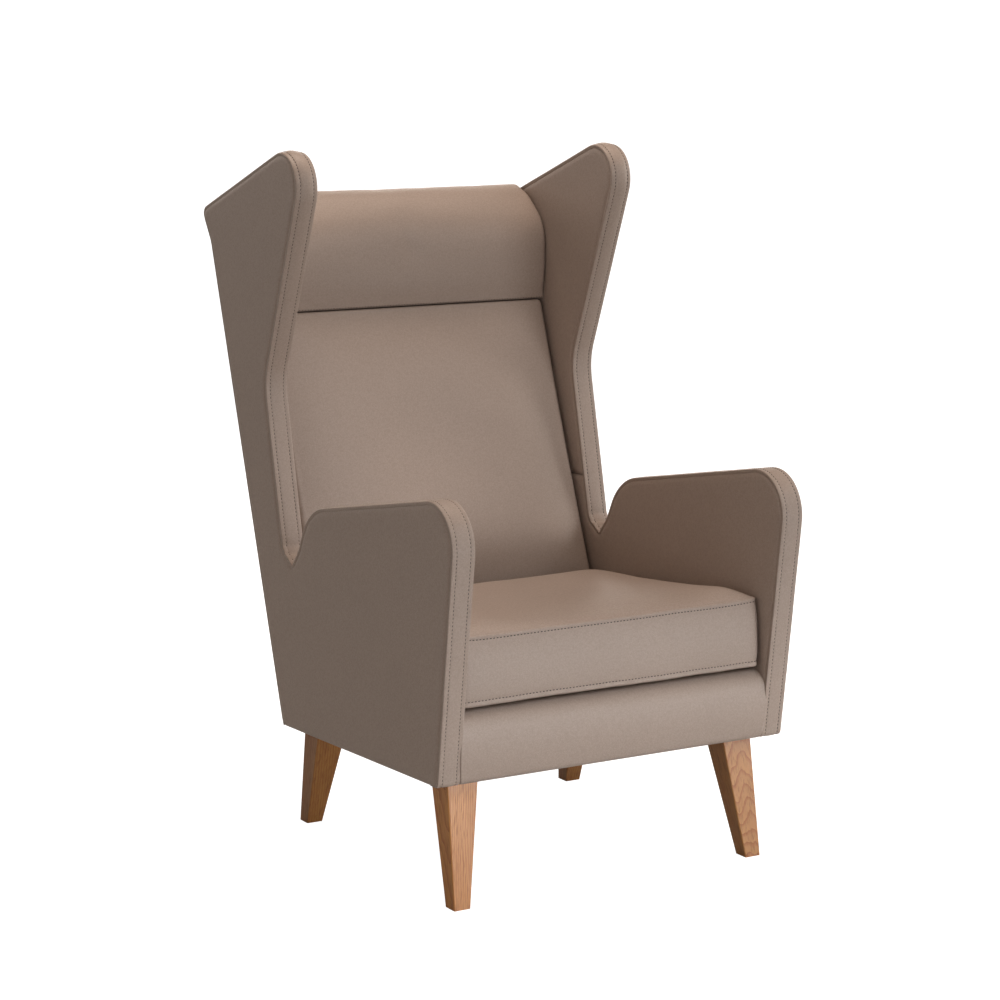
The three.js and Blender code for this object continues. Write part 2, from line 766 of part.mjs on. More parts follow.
// The outside of the back: a hardboard panel, wadding that fills out the curl at the top, and the cover.
function buildBackPanel() {
  const group = new THREE.Group();
  const topAlong = direction(wingTip, crown);
  const bottomAlong = direction(heel, foot);
  const front = backPoint(0, boardFace - clearance);
  const frontTop = meet(front, backAlong, wingTip, topAlong);
  const squareHeel = corner(heelBack, heelHeight);
  const shell = [meet(front, backAlong, heel, bottomAlong), frontTop, crown, nape, squareHeel];
  const paddingHalf = (plyInner + plyOuter) / 2 - clearance;
  const padding = insetOutline(shell, [0, coverStep, coverStep, coverStep, heelRadius]);
  group.add(piece("back_padding", plate(padding, -paddingHalf, paddingHalf), wadding));

  const curlFoot = corner((napeBack + crownBack) / 2, (napeHeight + crownHeight) / 2);
  const curl = [meet(front, backAlong, curlFoot, level), frontTop, crown, curlFoot];
  const cap = cut(
    plate(curl, -betweenCovers, betweenCovers),
    plate(insetOutline(curl, [-overrun, coverThickness, coverThickness, -overrun]), -outerFace, outerFace),
  );
  const rearSheet = cut(
    plate(sideOutline(0, 0, 0), -outerFace, outerFace),
    plate(sideOutline(-overrun, coverThickness, -overrun), -outerFace - overrun, outerFace + overrun),
  );
  group.add(piece("outer_back_cover", join(rearSheet, cap), vinyl));

  const board = new THREE.Group();
  const panel = block(
    [-plyOuter, heelRadius, boardFace],
    [plyOuter, backBoardLength, boardFace + backBoardThickness],
  );
  board.add(piece("back_board", panel, hardboard));
  board.position.set(0, heelBack, heelHeight);
  board.rotation.x = Math.atan2(backAlong.up, backAlong.back);
  group.add(board);
  return group;
}

// A square leg with eased edges, tapering from the seat box to its foot.
function legBody(top, footPoint, topHeight) {
  const ring = (centre, width, depth, height) => {
    const x = width / 2;
    const y = depth / 2;
    const easedX = x - legChamfer;
    const easedY = y - legChamfer;
    const quarter = [[x, easedY], [easedX, y]];
    const mirrored = quarter.map(([across, along]) => [-across, along]).reverse();
    const half = [...quarter, ...mirrored];
    const outline = [...half, ...half.map(([across, along]) => [-across, -along])];
    return outline.map(([across, along]) => {
      const back = centre.y + along;
      return new THREE.Vector3(centre.x + across, back, height(back));
    });
  };
  const footRing = ring(footPoint, legFootWidth, legFootDepth, () => 0);
  return loft([footRing, ring(top, legTopWidth, legTopDepth, topHeight)]);
}

// The underside: four corner blocks, the dust cloth, and the legs on their hanger bolts.
function buildUnderside() {
  const group = new THREE.Group();
  const clothBottom = (back) => bottomHeight(back) + coverThickness - dustClothThickness;
  const legTop = (back) => clothBottom(back) - clearance;
  const rearBlockBack = backPoint(0, frameFace + clearance).back;
  const places = [
    {
      row: "front",
      top: new THREE.Vector2(frontLegTopOut, frontLegTopBack),
      foot: new THREE.Vector2(frontLegTopOut + frontLegSplayOut, frontLegTopBack - frontLegSplayForward),
      blockStart: railBack + clearance,
    },
    {
      row: "rear",
      top: new THREE.Vector2(rearLegTopOut, rearLegTopBack),
      foot: new THREE.Vector2(rearLegTopOut + rearLegSplayOut, rearLegTopBack + rearLegSplayBack),
      blockStart: rearBlockBack - blockDepth,
    },
  ];
  const holes = [];
  for (const place of places) {
    for (const [side, label] of [[-1, "left"], [1, "right"]]) {
      const top = place.top.clone().setX(place.top.x * side);
      const footPoint = place.foot.clone().setX(place.foot.x * side);
      const seat = legTop(top.y);
      const shank = (radius, reach) => {
        const rod = new THREE.CylinderGeometry(radius, radius, reach * 2, boltSides);
        return rod.rotateX(Math.PI / 2).translate(top.x, top.y, seat);
      };
      const hole = shank(boltRadius + clearance, boltReach + clearance);
      holes.push(hole);
      const name = `${place.row}_${label}`;
      group.add(piece(`leg_${name}`, cut(legBody(top, footPoint, legTop), hole), oak));
      group.add(piece(`leg_bolt_${name}`, shank(boltRadius, boltReach), zincPlate));
      const end = place.blockStart + blockDepth;
      const base = (back) => bottomHeight(back) + coverStep;
      const outline = [
        corner(place.blockStart, base(place.blockStart)),
        corner(place.blockStart, base(place.blockStart) + blockHeight),
        corner(end, base(end) + blockHeight),
        corner(end, base(end)),
      ];
      const body = sidePlate(outline, side, betweenPly - blockWidth, betweenPly);
      group.add(piece(`corner_block_${name}`, cut(body, hole), beech));
    }
  }
  const clothHalf = outerFace - hemWidth - clearance;
  const clothStart = borderUnderlap + clearance * 2;
  const clothEnd = backPoint(0, coverStep).back;
  const cloth = plate(
    [
      corner(clothStart, clothBottom(clothStart)),
      corner(clothStart, clothBottom(clothStart) + dustClothThickness),
      corner(clothEnd, clothBottom(clothEnd) + dustClothThickness),
      corner(clothEnd, clothBottom(clothEnd)),
    ],
    -clothHalf,
    clothHalf,
  );
  group.add(piece("dust_cloth", cut(cloth, ...holes), blackCloth));
  return group;
}

const chair = new THREE.Group();
chair.add(buildSide(-1, "left"), buildSide(1, "right"), buildSeatBox(), buildDeck(), buildCushion());
chair.add(buildBack(), buildHeadRoll(), buildBackPanel(), buildUnderside());
const backs = roundedPoints(sideCorners).map((point) => point.x);
chair.position.y = -(Math.min(...backs) + Math.max(...backs)) / 2;

export default chair;
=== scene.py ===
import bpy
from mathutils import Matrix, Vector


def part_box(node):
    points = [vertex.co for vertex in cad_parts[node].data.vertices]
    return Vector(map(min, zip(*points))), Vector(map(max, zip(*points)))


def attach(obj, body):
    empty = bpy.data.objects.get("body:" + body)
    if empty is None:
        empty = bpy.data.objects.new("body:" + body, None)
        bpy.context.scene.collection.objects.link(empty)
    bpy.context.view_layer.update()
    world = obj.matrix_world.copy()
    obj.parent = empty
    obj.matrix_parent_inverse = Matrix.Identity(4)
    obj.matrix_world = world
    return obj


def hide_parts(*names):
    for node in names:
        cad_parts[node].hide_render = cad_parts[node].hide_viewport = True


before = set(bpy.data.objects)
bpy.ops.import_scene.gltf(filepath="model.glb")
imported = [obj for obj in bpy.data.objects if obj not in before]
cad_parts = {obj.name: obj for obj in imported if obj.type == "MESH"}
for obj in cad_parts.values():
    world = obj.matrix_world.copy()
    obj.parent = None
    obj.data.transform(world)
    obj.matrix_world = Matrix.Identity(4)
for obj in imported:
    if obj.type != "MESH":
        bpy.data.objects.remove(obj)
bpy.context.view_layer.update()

"""The looks of a high-back wing lounge chair: faux leather over foam, on four oak legs.

Points are worked out in millimetres in the frame's own axes: +X is to the right as the chair is seen from the
front, -Y is the front, +Z is up, and the origin is on the floor. They turn to metres when a mesh is made.
"""

import logging
import math
from dataclasses import dataclass, field
from enum import Enum
from typing import Callable, Mapping, Sequence

import bmesh
import bpy
import numpy as np
from mathutils import Vector, geometry, noise
from mathutils.bvhtree import BVHTree

logging.basicConfig(level=logging.INFO, format="%(name)s: %(message)s")
log = logging.getLogger("chair")

METRES_PER_MM = 0.001
MM_PER_METRE = 1000.0

Points = np.ndarray
Faces = list[tuple[int, ...]]


class Body(Enum):
    """The CAD bodies that pieces ride on."""

    CHAIR = "chair"
    CUSHION = "seat_cushion"
    SLIDER = "zip_slider"


class Slot(Enum):
    """The record's material slots, by name. No piece made here is given one, and a CAD node keeps its own
    slot.
    """

    VINYL = "vinyl"
    FOAM = "foam"
    BLACK_CLOTH = "black_cloth"
    ZIP_TAPE = "zip_tape"
    ZINC = "zinc"


class Side(Enum):
    """The two sides of the chair, as seen from the front. The value is the sign of X."""

    LEFT = -1
    RIGHT = 1

    @property
    def label(self) -> str:
        """The word that the CAD nodes end in."""
        return self.name.lower()


# Sizes from the frame


@dataclass(frozen=True)
class Box:
    """The box of one CAD node, in millimetres."""

    low: np.ndarray
    high: np.ndarray

    @classmethod
    def of(cls, node: str) -> "Box":
        """Reads a node's box.

        Args:
            node: the CAD node's name.

        Returns:
            Its box in millimetres.
        """
        low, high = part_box(node)
        return cls(np.array(low) * MM_PER_METRE, np.array(high) * MM_PER_METRE)


OUTER_FACE = Box.of("edge_band_right").high[0]
INNER_FACE = Box.of("edge_band_right").low[0]
SIDE_MIDDLE = (OUTER_FACE + INNER_FACE) / 2
BAND_HALF = (OUTER_FACE - INNER_FACE) / 2

# The side's profile. "Back" is measured from the foot of the arm's front edge, "up" from the floor.


@dataclass(frozen=True)
class Corner:
    """A corner of an outline in the plane of the side, before it is rounded."""

    back: float
    up: float
    radius: float = 0.0

    @property
    def point(self) -> np.ndarray:
        """The corner as a pair of numbers."""
        return np.array((self.back, self.up))


FOOT = Corner(0, 219, 10)
ARM_FRONT = Corner(-66, 717, 76)
ARM_REAR = Corner(474, 617, 115)
NOTCH_LIP = Corner(514, 537, 46)
NOTCH_POINT = Corner(541.5, 504.5, 3)
NOTCH_KINK = Corner(577, 526, 24)
WAIST = Corner(643, 825, 115)
WING_TIP = Corner(457, 1286, 62)
CROWN = Corner(911, 1124, 17)
NAPE = Corner(872, 1066, 60)
HEEL = Corner(589, 196, 8)
BANDED = (FOOT, ARM_FRONT, ARM_REAR, NOTCH_LIP, NOTCH_POINT, NOTCH_KINK, WAIST, WING_TIP)
PROFILE = (*BANDED, CROWN, NAPE, HEEL)

COVER_SEAM_HEIGHT = 606
ROLL_FOOT_ALONG = 756.0
WEBBING_FACE = 44.1
FRAME_TOP_ALONG = 905.3
BOARD_FACE = 6.2
SEAT_PITCH = math.radians(4)
DECK_FRONT_HEIGHT = 344
CUSHION_SETBACK = 1


def unit(vector: np.ndarray) -> np.ndarray:
    """Scales a vector to length one."""
    return vector / np.linalg.norm(vector)


def unit_rows(vectors: Points) -> Points:
    """Scales each row to length one."""
    return vectors / np.maximum(np.linalg.norm(vectors, axis=1, keepdims=True), 1e-9)


def heading(start: Corner, end: Corner) -> np.ndarray:
    """The direction of travel from one corner to the next."""
    return unit(end.point - start.point)


def cross2(a: np.ndarray, b: np.ndarray) -> float:
    """The cross product of two flat vectors."""
    return float(a[0] * b[1] - a[1] * b[0])


def meeting(a: np.ndarray, along_a: np.ndarray, b: np.ndarray, along_b: np.ndarray) -> np.ndarray:
    """Where the line through a meets the line through b."""
    reach = cross2(b - a, along_b) / cross2(along_a, along_b)
    return a + along_a * reach


def inset(corners: Sequence[Corner], distances: Sequence[float]) -> list[Corner]:
    """Moves each edge of a clockwise outline inwards.

    Args:
        corners: the outline's corners, clockwise with back to the right and up upwards.
        distances: how far in the edge that leaves each corner goes.

    Returns:
        The new corners, with the radii that keep the arcs parallel.
    """
    count = len(corners)
    moved = []
    for i, start in enumerate(corners):
        along = heading(start, corners[(i + 1) % count])
        moved.append((along, start.point + distances[i] * np.array((along[1], -along[0]))))
    result = []
    for i, start in enumerate(corners):
        before, after = moved[i - 1], moved[i]
        met = meeting(before[1], before[0], after[1], after[0])
        turn = cross2(before[0], after[0])
        change = max(distances[i - 1], distances[i]) * math.copysign(1, turn)
        radius = max(start.radius + change, 0) if start.radius else 0
        result.append(Corner(met[0], met[1], radius))
    return result


def subdivided(line: Points, spacing: float, closed: bool) -> Points:
    """Adds points so that no step of a line is longer than the spacing.

    Args:
        line: the line's points, one per row.
        spacing: the longest step.
        closed: True where the last point joins the first.

    Returns:
        The line with the points added.
    """
    ends = np.roll(line, -1, axis=0) if closed else line[1:]
    parts = []
    for start, end in zip(line, ends):
        steps = max(1, math.ceil(np.linalg.norm(end - start) / spacing))
        shares = np.arange(steps)[:, None] / steps
        parts.append(start + (end - start) * shares)
    if not closed:
        parts.append(line[-1:])
    return np.concatenate(parts)


def rounded(corners: Sequence[Corner], spacing: float, closed: bool = True) -> Points:
    """Draws an outline with its corners as arcs.

    Args:
        corners: the corners, in order.
        spacing: the longest step along the line.
        closed: True for a closed outline.

    Returns:
        The points, one (back, up) pair per row.
    """
    count = len(corners)
    parts = []
    for i, here in enumerate(corners):
        is_end = not closed and i in (0, count - 1)
        if is_end or here.radius <= 0:
            parts.append(here.point[None])
            continue
        come = heading(corners[i - 1], here)
        leave = heading(here, corners[(i + 1) % count])
        turn = math.atan2(cross2(come, leave), float(come @ leave))
        reach = here.radius * math.tan(abs(turn) / 2)
        start = here.point - come * reach
        centre = start + math.copysign(here.radius, turn) * np.array((-come[1], come[0]))
        steps = max(3, math.ceil(here.radius * abs(turn) / spacing))
        angles = np.linspace(0, turn, steps + 1)
        arm = start - centre
        cosines, sines = np.cos(angles), np.sin(angles)
        arc = np.stack([arm[0] * cosines - arm[1] * sines, arm[0] * sines + arm[1] * cosines], axis=1)
        parts.append(centre + arc)
    return subdivided(np.concatenate(parts), spacing, closed)


PROFILE_SPACING = 4.0
FRONT_REACH = float(rounded(PROFILE, PROFILE_SPACING)[:, 0].min())
BACK_SHIFT = float(Box.of("edge_band_right").low[1]) - FRONT_REACH
BACK_ALONG = heading(HEEL, NAPE)
BACK_OUT = np.array((-BACK_ALONG[1], BACK_ALONG[0]))


def back_point(along: float, depth: float, radius: float = 0) -> Corner:
    """A point of the back: up its outer face from the heel, and forward from that face."""
    point = HEEL.point + BACK_ALONG * along + BACK_OUT * depth
    return Corner(point[0], point[1], radius)


def in_side_plane(flat: Points, across: np.ndarray | float) -> Points:
    """Turns (back, up) pairs into points in space.

    Args:
        flat: the pairs, one per row.
        across: X of each point, or one X for all.

    Returns:
        The points in millimetres.
    """
    return np.stack([np.broadcast_to(across, len(flat)), flat[:, 0] + BACK_SHIFT, flat[:, 1]], axis=1)


def on_seat(points: Points) -> Points:
    """Turns points of the seat's pitched frame (X, back along the deck, up from it) into the chair's."""
    cosine, sine = math.cos(SEAT_PITCH), math.sin(SEAT_PITCH)
    back = points[:, 1] * cosine + points[:, 2] * sine
    height = DECK_FRONT_HEIGHT - points[:, 1] * sine + points[:, 2] * cosine
    return np.stack([points[:, 0], back + BACK_SHIFT, height], axis=1)


def on_back(points: Points) -> Points:
    """Turns points of the back's frame (X, up along the outer face, forward of it) into the chair's."""
    flat = HEEL.point + points[:, 1:2] * BACK_ALONG + points[:, 2:3] * BACK_OUT
    return in_side_plane(flat, points[:, 0])


@dataclass(frozen=True)
class Ripple:
    """Smooth unevenness: its height and the size of its waves in millimetres, and a seed that moves it."""

    height: float
    length: float
    seed: float = 0.0

    def at(self, points: Points, shift: float = 0.0) -> np.ndarray:
        """Takes the unevenness at points in millimetres.

        Args:
            points: the points, one per row.
            shift: moves the seed.

        Returns:
            One value per point, from minus the height to the height.
        """
        seed = self.seed + shift
        offset = Vector((seed, -seed, seed / 2))
        return self.height * np.array([noise.noise(Vector(p) / self.length + offset) for p in points])


def bell(distance: np.ndarray, reach: float) -> np.ndarray:
    """One at no distance, falling off like a bell within the reach."""
    return np.exp(-((distance / reach) ** 2))


def distances_along(line: Points) -> np.ndarray:
    """How far along a line each of its points lies."""
    return np.concatenate([[0], np.cumsum(np.linalg.norm(np.diff(line, axis=0), axis=1))])


def right_of(along: Points) -> Points:
    """The flat normal on the right of each direction of travel."""
    return np.stack([along[:, 1], -along[:, 0]], axis=1)


def with_third(flat: Points, value: float = 0.0) -> Points:
    """Gives flat points a third coordinate."""
    return np.column_stack((flat, np.full(len(flat), value)))


def rolled_stations(half: float, roll: float, steps: int, pitch: float) -> list[tuple[float, float]]:
    """Places across a piece whose two ends roll round.

    Args:
        half: half the piece's width.
        roll: the radius of each end's roll.
        steps: how many places lie in each roll.
        pitch: about how far apart the places between the rolls are.

    Returns:
        For each place its X and how far the section is tucked in there.
    """
    angles = np.linspace(0, math.pi / 2, steps + 1)[:-1]
    ends = [(-half + roll * (1 - math.cos(a)), roll * (1 - math.sin(a))) for a in angles]
    reach = half - roll
    middle = [(x, 0.0) for x in np.linspace(-reach, reach, round(2 * reach / pitch) + 1)]
    return [*ends, *middle, *((-x, tuck) for x, tuck in reversed(ends))]


# Meshes


def mesh_object(name: str, points: Points, faces: Faces) -> bpy.types.Object:
    """Makes a smooth-shaded mesh object.

    Args:
        name: the object's name.
        points: its points in millimetres.
        faces: its faces as tuples of point numbers, in any winding.

    Returns:
        The object, linked to the scene, with its normals outward.
    """
    mesh = bpy.data.meshes.new(name)
    mesh.from_pydata((np.asarray(points, float) * METRES_PER_MM).tolist(), [], faces)
    work = bmesh.new()
    work.from_mesh(mesh)
    bmesh.ops.recalc_face_normals(work, faces=work.faces)
    for face in work.faces:
        face.smooth = True
    work.to_mesh(mesh)
    work.free()
    made = bpy.data.objects.new(name, mesh)
    bpy.context.scene.collection.objects.link(made)
    return made


def points_of(made: bpy.types.Object) -> Points:
    """An object's mesh points in millimetres."""
    flat = np.zeros(len(made.data.vertices) * 3)
    made.data.vertices.foreach_get("co", flat)
    return flat.reshape(-1, 3) * MM_PER_METRE


def set_points(made: bpy.types.Object, points: Points) -> None:
    """Moves an object's mesh points, given in millimetres."""
    made.data.vertices.foreach_set("co", (points * METRES_PER_MM).ravel())
    made.data.update()


def subdivide(made: bpy.types.Object, levels: int = 1) -> None:
    """Applies a subdivision surface to a mesh object."""
    modifier = made.modifiers.new("Subdivision", "SUBSURF")
    modifier.levels = levels
    modifier.render_levels = levels
    graph = bpy.context.evaluated_depsgraph_get()
    fresh = bpy.data.meshes.new_from_object(made.evaluated_get(graph))
    made.modifiers.clear()
    old = made.data
    made.data = fresh
    bpy.data.meshes.remove(old)
    for polygon in fresh.polygons:
        polygon.use_smooth = True


def dress(
    made: bpy.types.Object,
    body: Body,
    material: bpy.types.Material,
    replaced: Sequence[str] = (),
) -> bpy.types.Object:
    """Gives a piece its material, its body and the CAD nodes that it stands for."""
    made.data.materials.clear()
    made.data.materials.append(material)
    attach(made, body.value)
    if replaced:
        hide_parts(*replaced)
    log.info("%s: %d points, %s", made.name, len(made.data.vertices), material.name)
    return made


def strip_faces(rows: int, columns: int, first: int = 0, around: bool = False) -> Faces:
    """The quads of a grid of points stored row by row.

    Args:
        rows: how many rows of points.
        columns: how many points in a row.
        first: the number of the grid's first point.
        around: True where each row closes on itself.

    Returns:
        The faces.
    """
    faces = []
    for row in range(rows - 1):
        for column in range(columns if around else columns - 1):
            low = first + row * columns + column
            low_next = first + row * columns + (column + 1) % columns
            faces.append((low, low_next, low_next + columns, low + columns))
    return faces


def grid_rim(rows: int, columns: int) -> np.ndarray:
    """The numbers of the points on a grid's rim, once round from its first point."""
    numbers = np.arange(columns * rows).reshape(rows, columns)
    return np.concatenate([numbers[0, :-1], numbers[:-1, -1], numbers[-1, :0:-1], numbers[:0:-1, 0]])


def wall_faces(low: np.ndarray, high: np.ndarray) -> Faces:
    """The quads between two closed rings, given by their points' numbers."""
    quads = zip(low, np.roll(low, -1), np.roll(high, -1), high)
    return [tuple(int(number) for number in quad) for quad in quads]


def tube_faces(rings: int, sides: int) -> Faces:
    """The faces of a closed tube: its side, then its two ends."""
    last = (rings - 1) * sides
    ends = [tuple(range(sides)), tuple(range(last, last + sides))]
    return [*strip_faces(rings, sides, around=True), *ends]


def swept_object(name: str, sections: Sequence[Points]) -> bpy.types.Object:
    """A closed body through closed sections with the same number of points."""
    return mesh_object(name, np.concatenate(sections), tube_faces(len(sections), len(sections[0])))


# Materials


def scale_of(millimetres: float) -> float:
    """The texture scale that makes a pattern's cells this size, as object coordinates are in metres."""
    return MM_PER_METRE / millimetres


def wave_scale_of(millimetres: float) -> float:
    """The scale of a Wave texture whose lines are this far apart."""
    return math.tau / 20 * MM_PER_METRE / millimetres


def linear(hex_colour: str, share: float = 1.0) -> tuple[float, float, float, float]:
    """Turns an sRGB colour into linear values.

    Args:
        hex_colour: such as "#9c8979".
        share: brightens or darkens the result.

    Returns:
        Red, green, blue and one for alpha.
    """
    values = [int(hex_colour[i : i + 2], 16) / 255 for i in (1, 3, 5)]
    light = [v / 12.92 if v <= 0.04045 else ((v + 0.055) / 1.055) ** 2.4 for v in values]
    return (*(v * share for v in light), 1.0)


Link = tuple[bpy.types.Node, str | int]
MIX_FACTOR, MIX_A, MIX_B, MIX_RESULT = 0, 6, 7, 2


class Sheet:
    """Adds nodes to one material."""

    def __init__(self, name: str) -> None:
        """Starts an empty material of this name."""
        self.material = bpy.data.materials.new(name)
        self.material.use_nodes = True
        self.tree = self.material.node_tree
        self.tree.nodes.clear()
        self.coordinates = (self.add("ShaderNodeTexCoord"), "Object")

    def add(
        self, kind: str, inputs: Mapping[str | int, object] | None = None, **settings: object
    ) -> bpy.types.Node:
        """Adds a node.

        Args:
            kind: the node's type.
            inputs: a constant, or a (node, output) pair to link, for each input by name or number.
            settings: the node's own properties.

        Returns:
            The node.
        """
        node = self.tree.nodes.new(kind)
        for key, value in settings.items():
            setattr(node, key, value)
        for key, value in (inputs or {}).items():
            if isinstance(value, tuple) and isinstance(value[0], bpy.types.Node):
                self.tree.links.new(value[0].outputs[value[1]], node.inputs[key])
            else:
                node.inputs[key].default_value = value
        return node

    def noise(
        self, size: float, detail: float = 2.0, vector: Link | None = None, roughness: float = 0.5
    ) -> Link:
        """Noise with waves of this size in millimetres."""
        inputs = {"Vector": vector or self.coordinates, "Scale": scale_of(size)}
        return (self.add("ShaderNodeTexNoise", {**inputs, "Detail": detail, "Roughness": roughness}), 0)

    def stripes(self, spacing: float, distortion: float, direction: str) -> Link:
        """Soft parallel bands this far apart in millimetres, across one axis."""
        inputs = {"Vector": self.coordinates, "Scale": wave_scale_of(spacing), "Distortion": distortion}
        return (self.add("ShaderNodeTexWave", inputs, bands_direction=direction), 1)

    def cells(self, size: float, feature: str = "F1", vector: Link | None = None) -> Link:
        """Distance in a pattern of cells of this size in millimetres."""
        inputs = {"Vector": vector or self.coordinates, "Scale": scale_of(size)}
        return (self.add("ShaderNodeTexVoronoi", inputs, feature=feature), "Distance")

    def ranged(self, source: Link, low: float, high: float, to_low: float, to_high: float) -> Link:
        """Maps one range of values smoothly to another."""
        inputs = {"Value": source, "From Min": low, "From Max": high, "To Min": to_low, "To Max": to_high}
        return (self.add("ShaderNodeMapRange", inputs, interpolation_type="SMOOTHSTEP"), 0)

    def math(self, operation: str, a: Link | float, b: Link | float = 0.0) -> Link:
        """One sum on two values."""
        return (self.add("ShaderNodeMath", {0: a, 1: b}, operation=operation), 0)

    def vector_math(self, operation: str, *vectors: Link | Sequence[float]) -> Link:
        """One sum on vectors."""
        return (self.add("ShaderNodeVectorMath", dict(enumerate(vectors)), operation=operation), 0)

    def mix(self, factor: Link | float, a: Link | tuple, b: Link | tuple, blend: str = "MIX") -> Link:
        """Mixes two colours."""
        inputs = {MIX_FACTOR: factor, MIX_A: a, MIX_B: b}
        return (self.add("ShaderNodeMix", inputs, data_type="RGBA", blend_type=blend), MIX_RESULT)

    def ramp(self, source: Link, stops: Sequence[tuple[float, tuple]]) -> Link:
        """Colours by value.

        Args:
            source: the value from 0 to 1.
            stops: places from 0 to 1, each with its colour.

        Returns:
            The colour.
        """
        node = self.add("ShaderNodeValToRGB", {"Fac": source})
        elements = node.color_ramp.elements
        while len(elements) < len(stops):
            elements.new(0.5)
        for element, (place, colour) in zip(elements, stops):
            element.position = place
            element.color = colour
        return (node, "Color")

    def tones(self, source: Link, colour: str, *stops: tuple[float, float]) -> Link:
        """One colour by value, as (place from 0 to 1, share that brightens or darkens it) stops."""
        return self.ramp(source, [(place, linear(colour, share)) for place, share in stops])

    def mapped(self, scale: tuple, location: tuple = (0, 0, 0), turn: tuple = (0, 0, 0)) -> Link:
        """Object coordinates moved, turned and scaled."""
        inputs = {"Vector": self.coordinates, "Scale": scale, "Location": location, "Rotation": turn}
        return (self.add("ShaderNodeMapping", inputs), 0)

    def bump(self, height: Link, depth: float, strength: float = 1.0, normal: Link | None = None) -> Link:
        """Relief this many millimetres deep."""
        inputs = {"Height": height, "Distance": depth * METRES_PER_MM, "Strength": strength}
        if normal:
            inputs["Normal"] = normal
        return (self.add("ShaderNodeBump", inputs), 0)

    def surface(self, inputs: Mapping[str, object]) -> bpy.types.Material:
        """Ends the material with a Principled shader.

        Args:
            inputs: the shader's inputs, as links or constants.

        Returns:
            The finished material.
        """
        shader = self.add("ShaderNodeBsdfPrincipled", inputs)
        self.add("ShaderNodeOutputMaterial", {"Surface": (shader, 0)})
        return self.material


@dataclass(frozen=True)
class Leather:
    """Faux leather: a fine pebble grain pressed into satin vinyl.

    The real grain is about 1 mm. It is drawn at `grain` because the view has 1.8 mm to a pixel, and shows
    there as a fine speckle. A broad colour mottle is painted shade for the foam's slight unevenness under the
    cover.
    """

    name: str
    colour: str
    grain: float = 2.6
    mottle: float = 140.0
    grain_depth: float = 0.13
    hollow_depth: float = 0.35
    roughness: float = 0.47

    def make(self) -> bpy.types.Material:
        """Builds the material."""
        sheet = Sheet(self.name)
        pebbles = sheet.ranged(sheet.cells(self.grain, "DISTANCE_TO_EDGE"), 0.0, 0.34, 0.0, 1.0)
        specks = sheet.noise(self.grain * 1.3, detail=3, roughness=0.65)
        mottle = sheet.noise(self.mottle, detail=2)
        # The broad mottle is painted shade of the foam's unevenness under the cover.
        broad = sheet.tones(mottle, self.colour, (0.3, 0.985), (0.5, 1.0), (0.72, 1.015))
        speckled = sheet.mix(sheet.ranged(specks, 0.38, 0.66, 0.0, 0.5), broad, linear(self.colour, 0.78))
        # Darker where the pebbles meet: painted shade in the grain's valleys.
        colour = sheet.mix(sheet.ranged(pebbles, 0.0, 0.6, 0.35, 0.0), speckled, linear(self.colour, 0.7))
        shine = sheet.ranged(specks, 0.3, 0.75, self.roughness - 0.05, self.roughness + 0.09)
        hollows = sheet.bump(sheet.noise(self.mottle * 0.55, detail=1), self.hollow_depth, 0.6)
        relief = sheet.bump(pebbles, self.grain_depth, 0.55, hollows)
        sheen = {"Specular IOR Level": 0.42, "Sheen Weight": 0.08, "Sheen Roughness": 0.5}
        return sheet.surface({"Base Color": colour, "Roughness": shine, "Normal": relief, **sheen})


@dataclass(frozen=True)
class Thread:
    """Twisted polyester sewing thread: darker than the cover, so that each stitch reads as a small dash."""

    name: str
    colour: str

    def make(self) -> bpy.types.Material:
        """Builds the material."""
        sheet = Sheet(self.name)
        twist = sheet.stripes(0.9, 1.5, "DIAGONAL")
        colour = sheet.mix(twist, linear(self.colour, 0.7), linear(self.colour, 1.2))
        return sheet.surface({"Base Color": colour, "Roughness": 0.62, "Normal": sheet.bump(twist, 0.08)})


